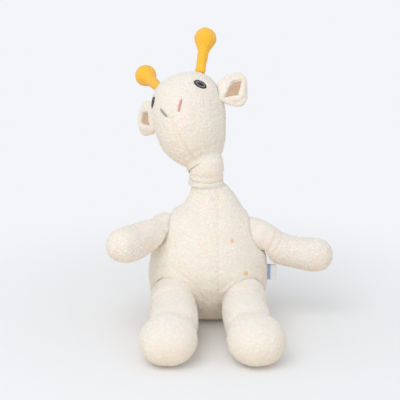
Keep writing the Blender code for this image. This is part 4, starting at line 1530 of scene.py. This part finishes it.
@dataclass
class Ruffle:
    """The gathered band where the neck meets the head."""

    name: str = "neck_ruffle"
    body: str = "neck_ring"
    node: str = "neck_gather"
    segments: int = 190
    minor_segments: int = 22
    pleats: int = 15
    pleat_depth: float = 0.0003
    minor: float = 0.0018
    squeeze: float = 1.25
    pile: Pile = Pile()

    def build(self, wardrobe: Wardrobe) -> Item:
        """Pleat a ring and give it the fleece's pile.

        Args:
            wardrobe: the toy's finishes.

        Returns:
            The finished band.
        """
        low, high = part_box(self.node)
        centre = (low + high) / 2
        middle = (high.x - low.x) / 2 - self.minor
        radii = {"major_radius": middle, "minor_radius": self.minor}
        cuts = {"major_segments": self.segments, "minor_segments": self.minor_segments}
        item = started(self.name, bpy.ops.mesh.primitive_torus_add, location=centre, **radii, **cuts)
        points, normals = points_of(item), normals_of(item)
        x, y, z = (points - np.array(centre)).T
        angle = np.arctan2(y, x) + 0.10 * unevenness(points, 0.010, 41)
        fold = pleated(angle, self.pleats)
        radial = np.hypot(x, y)
        across = np.stack([radial - middle, z], axis=1) / self.minor
        square = (np.abs(across) ** 4).sum(axis=1) ** 0.25
        full = across / square[:, None] * self.minor
        grown = (middle + full[:, 0]) / radial
        points = np.array(centre) + np.stack([x * grown, y * grown, full[:, 1] * self.squeeze], axis=1)
        points = points - normals * (self.pleat_depth * fold)[:, None]
        heights = self.pile.heights(points, 11)
        put_points(item, points + normals * (self.pile.height * heights)[:, None])
        keep(item, "pile", heights)
        # Painted shade in the pleats.
        keep(item, "crease", 0.1 * fold ** 3)
        return wardrobe.dress(item, self.body, wardrobe.fleece, (self.node,))


# Ear lining


@dataclass(frozen=True)
class Kite:
    """The four-cornered opening of an ear, in the ear's own X and Z."""

    corners: tuple[tuple[float, float], ...]

    def outside(self, flat: Array) -> Array:
        """Distance outside the kite, less than nought within it.

        Args:
            flat: places in the ear's X and Z.

        Returns:
            A distance for each place.
        """
        centre = np.array(self.corners).mean(axis=0)
        furthest = np.full(len(flat), -9.0)
        for first, second in zip(self.corners, self.corners[1:] + self.corners[:1]):
            start, along = np.array(first), np.array(second) - np.array(first)
            normal = np.array((along[1], -along[0])) / np.linalg.norm(along)
            if (centre - start) @ normal > 0:
                normal = -normal
            furthest = np.maximum(furthest, (flat - start) @ normal)
        return furthest

    def spread(self, across: float, up: float) -> Array:
        """Place inside the kite for shares from 0 to 1."""
        first, second, third, fourth = (np.array(corner) for corner in self.corners)
        low = first + (second - first) * across
        high = fourth + (third - fourth) * across
        return low + (high - low) * up


KITES = {
    Side.LEFT: Kite(((0.0010, -0.0085), (0.0155, -0.0075), (0.0205, 0.0075), (0.0115, 0.0070))),
    Side.RIGHT: Kite(((-0.0060, -0.0068), (-0.0090, 0.0070), (-0.0170, 0.0055), (-0.0180, -0.0048))),
}


@dataclass
class Lining:
    """The velour in an ear's hollow, folded once along its middle."""

    ear: Ear
    cuts: int = 44
    lift: float = 0.0007
    wall: float = 0.0006
    fold: float = 0.0007
    fold_width: float = 0.12
    tuck_share: float = 0.07

    def build(self, wardrobe: Wardrobe) -> Item:
        """Lay a grid over the fleece in the kite, tuck its edges in and thicken it.

        Args:
            wardrobe: the toy's finishes.

        Returns:
            The finished lining.
        """
        side = self.ear.side
        frame, kite = POSTURE.ear(side), KITES[side]
        turn = frame.to_3x3().to_4x4()
        grid = bpy.ops.mesh.primitive_grid_add
        cuts = {"x_subdivisions": self.cuts, "y_subdivisions": self.cuts}
        item = started(side.of("ear_velour"), grid, size=1, **cuts)
        flat = points_of(item)[:, :2] + 0.5
        spread = np.stack([kite.spread(across, up) for across, up in flat])
        local = np.stack([spread[:, 0], np.full(len(spread), -0.03), spread[:, 1]], axis=1)
        inward = Vector(out_of(np.array([[0.0, 1.0, 0.0]]), turn)[0])
        laid = [self.ear.surface.ray_cast(Vector(start), inward)[0] for start in out_of(local, frame)]
        local = into(np.array(laid), frame)
        ridge = bell(flat[:, 1] - 0.5 - 0.1 * np.sin(3 * flat[:, 0]), self.fold_width)
        inside = np.minimum(flat, 1 - flat).min(axis=1)
        tucked = 1 - ramp(inside, 0.0, self.tuck_share)
        local[:, 1] += self.lift * (1.6 * tucked - 1) - self.fold * ridge * (1 - tucked)
        put_points(item, out_of(local, frame))
        # Painted shade along the fold and the tucked edges.
        keep(item, "crease", 0.45 * bell(flat[:, 1] - 0.60, 0.05) + 0.7 * tucked)
        outward = out_of(np.array([[0.0, -1.0, 0.0]]), turn)[0]
        if float(normals_of(item).mean(axis=0) @ outward) < 0:
            item.data.flip_normals()
        apply_modifier(item, "SOLIDIFY", thickness=self.wall, offset=-1.0)
        apply_modifier(item, "BEVEL", width=self.wall / 3, segments=2, limit_method="ANGLE")
        node = side.of("ear_lining")
        return wardrobe.dress(item, side.of("ear"), wardrobe.velour, (node,))


# Embroidery


@dataclass(frozen=True)
class Patch:
    """A stitched oval on the head: its solid, half sizes, slant and shift round the head."""

    feature: str
    half_length: float
    half_height: float
    slant: dict
    shift: dict

    def basis(self, side: Side) -> tuple[Array, Array, Array, Array]:
        """The patch's middle, its two axes on the surface and its outward direction."""
        low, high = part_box(side.of(self.feature))
        head = POSTURE.head()
        local = turned(self.shift[side], "Z") @ (head.inverted() @ ((low + high) / 2))
        centre = head @ local
        outward = Vector((local.x, local.y, 0)).normalized()
        across = Vector((0, 0, 1)).cross(outward).normalized()
        upward = outward.cross(across)
        angle = math.radians(self.slant[side])
        long = across * math.cos(angle) + upward * math.sin(angle)
        short = upward * math.cos(angle) - across * math.sin(angle)
        turn = head.to_3x3()
        return tuple(np.array(v) for v in (centre, turn @ long, turn @ short, turn @ outward))

    def oval(self, side: Side, points: Array) -> Array:
        """Distance from the middle, where 1 is the oval's edge."""
        centre, long, short, outward = self.basis(side)
        offset = points - centre
        flat = np.hypot((offset @ long) / self.half_length, (offset @ short) / self.half_height)
        return flat + np.where(offset @ outward < -0.02, 9.0, 0.0)


STITCHED = {
    "eye": Patch(
        "eye", 0.0067, 0.0047, {Side.LEFT: -25.0, Side.RIGHT: 25.0}, {Side.LEFT: 1.0, Side.RIGHT: 11.0}
    ),
    "nostril": Patch(
        "nostril", 0.0064, 0.0013, {Side.LEFT: 62.0, Side.RIGHT: -62.0}, {Side.LEFT: 1.5, Side.RIGHT: 0.0}
    ),
}


@dataclass
class Embroidery:
    """Threads laid on a smooth surface, as a mesh."""

    surface: BVHTree
    thread: float = 0.00030
    spans: int = 6
    above: float = 0.02
    buried: float = 0.0002

    def strand(self, basis: tuple, start: Stitch, end: Stitch, rise: float) -> list[Vector]:
        """Points of one stitch that follows the surface and arches between its two ends.

        Args:
            basis: the patch's middle, long axis, short axis and outward direction.
            start: first end, along the two axes.
            end: other end.
            rise: height of the stitch's middle over the surface.

        Returns:
            The stitch's points.
        """
        centre, long, short, outward = basis
        found = []
        for number in range(self.spans + 1):
            share = number / self.spans
            across, up = (first + (last - first) * share for first, last in zip(start, end))
            above = Vector(centre + long * across + short * up + outward * self.above)
            place, normal, _, _ = self.surface.ray_cast(above, Vector(-outward))
            if place is None:
                place, normal, _, _ = self.surface.find_nearest(above - Vector(outward) * self.above)
            lift = rise * math.sin(math.pi * share) ** 0.6 - self.buried
            found.append(place + normal * lift)
        return found

    def sewn(self, name: str, strands: list[list[Vector]], thicker: float = 1.0) -> Item:
        """Lay a thread along each strand.

        Args:
            name: name of the new piece.
            strands: the stitches' points.
            thicker: the thread's radius as a share of the usual one.

        Returns:
            The stitches as one mesh.
        """
        curve = bpy.data.curves.new(name, "CURVE")
        curve.dimensions = "3D"
        curve.bevel_depth = self.thread * thicker
        curve.bevel_resolution = 2
        curve.use_fill_caps = True
        for places in strands:
            spline = curve.splines.new("POLY")
            spline.points.add(len(places) - 1)
            for point, place in zip(spline.points, places):
                point.co = (*place, 1)
        only(placed(name, curve))
        bpy.ops.object.convert(target="MESH")
        item = bpy.context.view_layer.objects.active
        keep(item, "crease", np.zeros(len(item.data.vertices)))
        return item


@dataclass
class Face(Embroidery):
    """The stitched eyes and nostrils."""

    eye_spokes: int = 54
    ring: Window = (0.40, 0.86)
    ring_rise: float = 0.0005
    rim: Window = (0.78, 1.02)
    rim_rise: float = 0.0007
    pupil_share: float = 0.50
    pupil_rise: float = 0.0010
    pupil_rows: int = 13
    nostril_stitches: int = 25
    nostril_rise: float = 0.0007
    nostril_lean: float = 0.0006

    def build(self, wardrobe: Wardrobe) -> None:
        """Stitch both sides of the face."""
        for side in Side:
            self.stitch_eye(side, wardrobe)
            self.stitch_nostril(side, wardrobe)

    def spokes(self, side: Side, reach: Window, rise: float, count: int) -> list[list[Vector]]:
        """Stitches that stand out round the eye between two ovals.

        Args:
            side: which eye.
            reach: the ovals' sizes as shares of the patch.
            rise: height of a stitch's middle.
            count: number of stitches.

        Returns:
            Each stitch's points.
        """
        patch = STITCHED["eye"]
        basis = patch.basis(side)
        made = []
        for number in range(count):
            angle = 2 * math.pi * (number + 0.15 * math.sin(7 * number)) / count
            shares = (reach[0], reach[1] * (1 + 0.02 * math.sin(5 * number)))
            ends = [
                (share * patch.half_length * math.cos(angle), share * patch.half_height * math.sin(angle))
                for share in shares
            ]
            made.append(self.strand(basis, *ends, rise))
        return made

    def stitch_eye(self, side: Side, wardrobe: Wardrobe) -> None:
        """A grey ring, a black rim over it and a raised black pupil.

        Args:
            side: which eye.
            wardrobe: the toy's finishes.
        """
        patch, name = STITCHED["eye"], side.of("eye")
        basis = patch.basis(side)
        ring = self.spokes(side, self.ring, self.ring_rise, self.eye_spokes)
        wardrobe.dress(self.sewn(f"{name}_grey_ring", ring), "head", wardrobe.grey)
        rim = self.spokes(side, self.rim, self.rim_rise, self.eye_spokes + 8)
        wardrobe.dress(self.sewn(f"{name}_black_rim", rim), "head", wardrobe.black, (name,))
        strands = []
        for number in range(self.pupil_rows):
            along = (2 * (number + 0.5) / self.pupil_rows - 1) * self.pupil_share
            tall = math.sqrt(max(0.0, self.pupil_share ** 2 - along ** 2))
            first = (along * patch.half_length, -tall * patch.half_height)
            strands.append(self.strand(basis, first, (first[0], -first[1]), self.pupil_rise))
        wardrobe.dress(self.sewn(f"{name}_pupil", strands, 1.05), "head", wardrobe.black)

    def stitch_nostril(self, side: Side, wardrobe: Wardrobe) -> None:
        """A column of short slanting stitches.

        Args:
            side: which nostril.
            wardrobe: the toy's finishes.
        """
        patch, name = STITCHED["nostril"], side.of("nostril")
        basis = patch.basis(side)
        strands = []
        for number in range(self.nostril_stitches):
            along = (2 * (number + 0.5) / self.nostril_stitches - 1) * patch.half_length
            half = patch.half_height * (1 - 0.45 * (along / patch.half_length) ** 2)
            start, end = (along - self.nostril_lean, -half), (along + self.nostril_lean, half)
            strands.append(self.strand(basis, start, end, self.nostril_rise))
        # The right nostril wears the pink thread darkened to a taupe: painted shade.
        finish = wardrobe.pink if side is Side.LEFT else wardrobe.shaded_pink
        wardrobe.dress(self.sewn(f"{name}_stitches", strands), "head", finish, (name,))


@dataclass(frozen=True)
class Spot:
    """A little star of stitches on the torso."""

    node: str
    slot: Slot
    radius: float = 0.0024
    rays: int = 9
    rise: float = 0.0008
    rise_step: float = 0.00004

    def place(self) -> Array:
        """Middle of the solid spot."""
        low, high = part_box(self.node)
        return np.array((low + high) / 2)

    def build(self, needle: Embroidery, wardrobe: Wardrobe) -> None:
        """Cross short stitches over the spot's middle.

        Args:
            needle: embroidery on the torso's surface.
            wardrobe: the toy's finishes.
        """
        centre = self.place()
        _, normal, _, _ = needle.surface.find_nearest(Vector(centre))
        side = Vector((0, 0, 1)).cross(normal).normalized()
        basis = (centre, np.array(side), np.array(normal.cross(side)), np.array(normal))
        strands = []
        for number in range(self.rays):
            angle = math.pi * number / self.rays
            reach = self.radius * (1 + 0.12 * math.sin(5 * number))
            end = (reach * math.cos(angle), reach * math.sin(angle))
            rise = self.rise + self.rise_step * number
            strands.append(needle.strand(basis, (-end[0], -end[1]), end, rise))
        finish = wardrobe.orange if self.slot is Slot.ORANGE else wardrobe.yellow
        item = needle.sewn(f"{self.node}_stitches", strands)
        wardrobe.dress(item, "torso", finish, (self.node,))


SPOTS = (
    Spot("belly_spot", Slot.ORANGE),
    Spot("chest_spot", Slot.ORANGE, radius=0.0020),
    Spot("flank_spot", Slot.YELLOW, radius=0.0021),
    Spot("neck_spot", Slot.YELLOW, radius=0.0021),
)


@dataclass
class Tag:
    """The blank ribbon, folded in half and sewn in the side seam."""

    width: float = 0.0158
    wall: float = 0.00032
    node: str = "side_label"
    steps: int = 72
    rows: int = 40
    band_share: float = 0.34
    band_blur: float = 0.04
    curl: float = 0.0007
    droop: float = 0.0006

    def build(self, wardrobe: Wardrobe) -> Item:
        """Bend a strip round its fold, ripple it a little and give it its thickness.

        Args:
            wardrobe: the toy's finishes.

        Returns:
            The finished ribbon.
        """
        low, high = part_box(self.node)
        half = (high.y - low.y) / 2 - self.wall / 2
        straight = high.x - low.x - half - self.wall / 2
        length = 2 * straight + math.pi * half
        grid = bpy.ops.mesh.primitive_grid_add
        item = started("blank_ribbon", grid, x_subdivisions=self.steps, y_subdivisions=self.rows, size=1)
        flat = points_of(item)[:, :2] + 0.5
        along = flat[:, 0] * length
        turn = np.clip((along - straight) / half, 0, math.pi)
        way_back = np.where(along > length - straight, length - along, straight)
        reach = np.where(along < straight, along, way_back)
        x = low.x + reach + half * np.sin(turn)
        y = (low.y + high.y) / 2 - half * np.cos(turn)
        z = (low.z + high.z) / 2 + (flat[:, 1] - 0.5) * self.width
        share = (x - low.x) / (high.x - low.x)
        y = y + self.curl * share * np.sin(2.2 * math.pi * flat[:, 1] + 0.6)
        z = z - self.droop * share ** 2
        put_points(item, np.stack([x, y, z], axis=1))
        past = ramp(share, self.band_share - self.band_blur, self.band_share + self.band_blur)
        keep(item, "band", 1 - past)
        item.data.flip_normals()
        apply_modifier(item, "SOLIDIFY", thickness=self.wall, offset=0.0)
        wardrobe.dress(item, "label", wardrobe.ribbon, (self.node,))
        LOG.info("%s: cut %.1f by %.1f mm", item.name, 1000 * self.width, 1000 * length)
        return item


# Studio


@dataclass(frozen=True)
class Lamp:
    """A round lamp that looks at the toy."""

    name: str
    place: Place
    size: float
    watts: float

    def build(self, aim: Vector) -> None:
        """Hang the lamp and turn it to where it aims."""
        light = bpy.data.lights.new(self.name, "AREA")
        light.shape = "DISK"
        light.size = self.size
        light.energy = self.watts
        item = placed(self.name, light)
        item.location = self.place
        item.rotation_euler = (Vector(self.place) - aim).to_track_quat("Z", "Y").to_euler()


@dataclass
class Studio:
    """A pale sweep, soft lamps and the photograph's point of view."""

    elevation: float = 16.0
    distance: float = 1.15
    aim: Place = (-0.008, 0.0, 0.125)
    lens: float = 103.5
    floor_size: float = 6.0
    floor_colour: Colour = (0.895, 0.903, 0.905)
    bounce: Colour = (0.84, 0.74, 0.63)
    sky: Colour = (0.96, 0.975, 1.0)
    sky_strength: float = 0.70
    backdrop: Colour = (0.895, 0.91, 0.945)
    near: float = 0.06
    far: float = 0.40
    lamps: tuple[Lamp, ...] = (
        Lamp("key_lamp", (-0.45, -0.75, 1.25), 1.2, 7.0),
        Lamp("fill_lamp", (0.06, -1.30, 0.24), 0.7, 2.5),
    )

    def build(self) -> None:
        """Set up the floor, the light and the camera."""
        self.lay_floor()
        self.light()
        self.place_camera()

    def lay_floor(self) -> None:
        """A plain floor that takes the toy's shadow and fades into the backdrop."""
        floor = started("studio_floor", bpy.ops.mesh.primitive_plane_add, size=self.floor_size)
        made = bpy.data.materials.new("pale_floor")
        made.use_nodes = True
        wires, nodes = Wiring(made.node_tree), made.node_tree.nodes
        shader = nodes["Principled BSDF"]
        seen = wires.add("LightPath", {}).outputs["Is Camera Ray"]
        colour = wires.mixed(seen, self.bounce, self.floor_colour)
        wires.feed(shader, {"Base Color": colour, "Roughness": 0.9, "Specular IOR Level": 0.1})
        where = wires.add("TexCoord", {}).outputs["Object"]
        away = wires.add("VectorMath", {0: where}, operation="LENGTH").outputs["Value"]
        inputs = {"Value": away, "From Min": self.near, "From Max": self.far}
        fade = wires.add("MapRange", inputs, interpolation_type="SMOOTHSTEP").outputs["Result"]
        distant = wires.add("Emission", {"Color": (*self.backdrop, 1.0)})
        share = wires.maths("MULTIPLY", fade, seen)
        mix = wires.add("MixShader", {0: share, 1: shader.outputs[0], 2: distant.outputs[0]})
        wires.feed(nodes["Material Output"], {"Surface": mix.outputs[0]})
        floor.data.materials.append(made)

    def light(self) -> None:
        """A broad lamp from above and in front, a weak one low in front, and the sky."""
        world = bpy.data.worlds.new("studio_sky")
        bpy.context.scene.world = world
        world.use_nodes = True
        world.node_tree.nodes.clear()
        wires = Wiring(world.node_tree)
        path = wires.add("LightPath", {}).outputs
        seen = wires.maths("MAXIMUM", path["Is Camera Ray"], path["Is Glossy Ray"])
        seen = wires.maths("MAXIMUM", seen, path["Is Transmission Ray"])
        lit = wires.add("Background", {"Color": (*self.sky, 1.0), "Strength": self.sky_strength})
        shown = wires.add("Background", {"Color": (*self.backdrop, 1.0), "Strength": 1.0})
        mix = wires.add("MixShader", {0: seen, 1: lit.outputs[0], 2: shown.outputs[0]})
        wires.add("OutputWorld", {"Surface": mix.outputs[0]})
        for lamp in self.lamps:
            lamp.build(Vector(self.aim))

    def place_camera(self) -> None:
        """Look at the toy from the photograph's height and distance."""
        camera = placed("camera", bpy.data.cameras.new("camera"))
        angle = math.radians(self.elevation)
        back = Vector((0, -math.cos(angle), math.sin(angle)))
        camera.location = Vector(self.aim) + back * self.distance
        camera.rotation_euler = back.to_track_quat("Z", "Y").to_euler()
        camera.data.lens = self.lens
        camera.data.sensor_width = 36.0
        bpy.context.scene.camera = camera
        bpy.context.scene.view_settings.view_transform = "Standard"


# The whole toy

ARM_SHAPES = {
    Side.LEFT: dict(
        sag=0.0028, root_sink=0.0026, root_place=-0.0010, top_swell=-0.0004, underside_sink=0.0005
    ),
    Side.RIGHT: dict(
        sag=-0.0010, root_sink=0.0024, root_place=0.0040, top_swell=0.0016, underside_sink=0.0032
    ),
}


def skin_and_fill(part: str) -> tuple[str, str]:
    """Names of a part's two solids."""
    return f"{part}_skin", f"{part}_stuffing"


def limbs() -> list[Limb]:
    """Both arms and both legs, with what sets each apart."""
    made = []
    for number, side in enumerate(Side):
        arm, leg = side.of("arm"), side.of("leg")
        arm_names = (f"{arm}_fleece", arm, skin_and_fill(arm), (side.of("shoulder_stuffing"),))
        leg_names = (f"{leg}_fleece", leg, skin_and_fill(leg), (side.of("hip_stuffing"),))
        arm_ball, leg_ball = Ball(f"{arm}_lift", 0.0185), Ball(f"{leg}_lift", 0.0215)
        made.append(Arm(*arm_names, (arm_ball,), seed=5 + 7 * number, **ARM_SHAPES[side]))
        made.append(Leg(*leg_names, (leg_ball,), seed=9 + 7 * number, lean=-0.0030 * side.sign))
    return made


def ear_and_horn(side: Side) -> tuple[Ear, Horn]:
    """One side's ear and horn.

    Args:
        side: which side of the head.

    Returns:
        The ear and the horn, before they are built.
    """
    ear, horn = side.of("ear"), side.of("horn")
    ear_ball, horn_ball = Ball(f"{ear}_flap", 0.0042), Ball(f"{horn}_bend", 0.0056)
    return (
        Ear(f"{ear}_fleece", ear, (f"{ear}_outer",), (), (ear_ball,), side=side),
        Horn(f"{horn}_felt", horn, skin_and_fill(horn), (), (horn_ball,), side=side),
    )


def main() -> None:
    """Build every piece, in order from the torso outwards, and the studio round it."""
    logging.basicConfig(level=logging.INFO, format="%(name)s %(message)s")
    wardrobe = Wardrobe()
    radii = (("arm_lift", 0.0195), ("leg_lift", 0.0224))
    sockets = [Ball(side.of(joint), radius) for side in Side for joint, radius in radii]
    torso_balls = (Ball("head_tilt", 0.0165), *sockets)
    torso = Torso("torso_fleece", "torso", skin_and_fill("torso"), ("neck_stuffing",), torso_balls)
    head = Head("head_fleece", "head", skin_and_fill("head"), (), (Ball("head_tilt", 0.0186),))
    for form in (torso, head, *limbs()):
        form.build(wardrobe)
    for side in Side:
        ear, horn = ear_and_horn(side)
        ear.build(wardrobe)
        Lining(ear).build(wardrobe)
        horn.build(wardrobe)
        for joint in ("shoulder", "hip"):
            Wad(side.of(joint)).build(wardrobe)
    Wad("neck").build(wardrobe)
    Ruffle().build(wardrobe)
    Face(head.surface).build(wardrobe)
    for spot in SPOTS:
        spot.build(Embroidery(torso.surface), wardrobe)
    Tag().build(wardrobe)
    Studio().build()


if __name__ == "__main__":
    main()
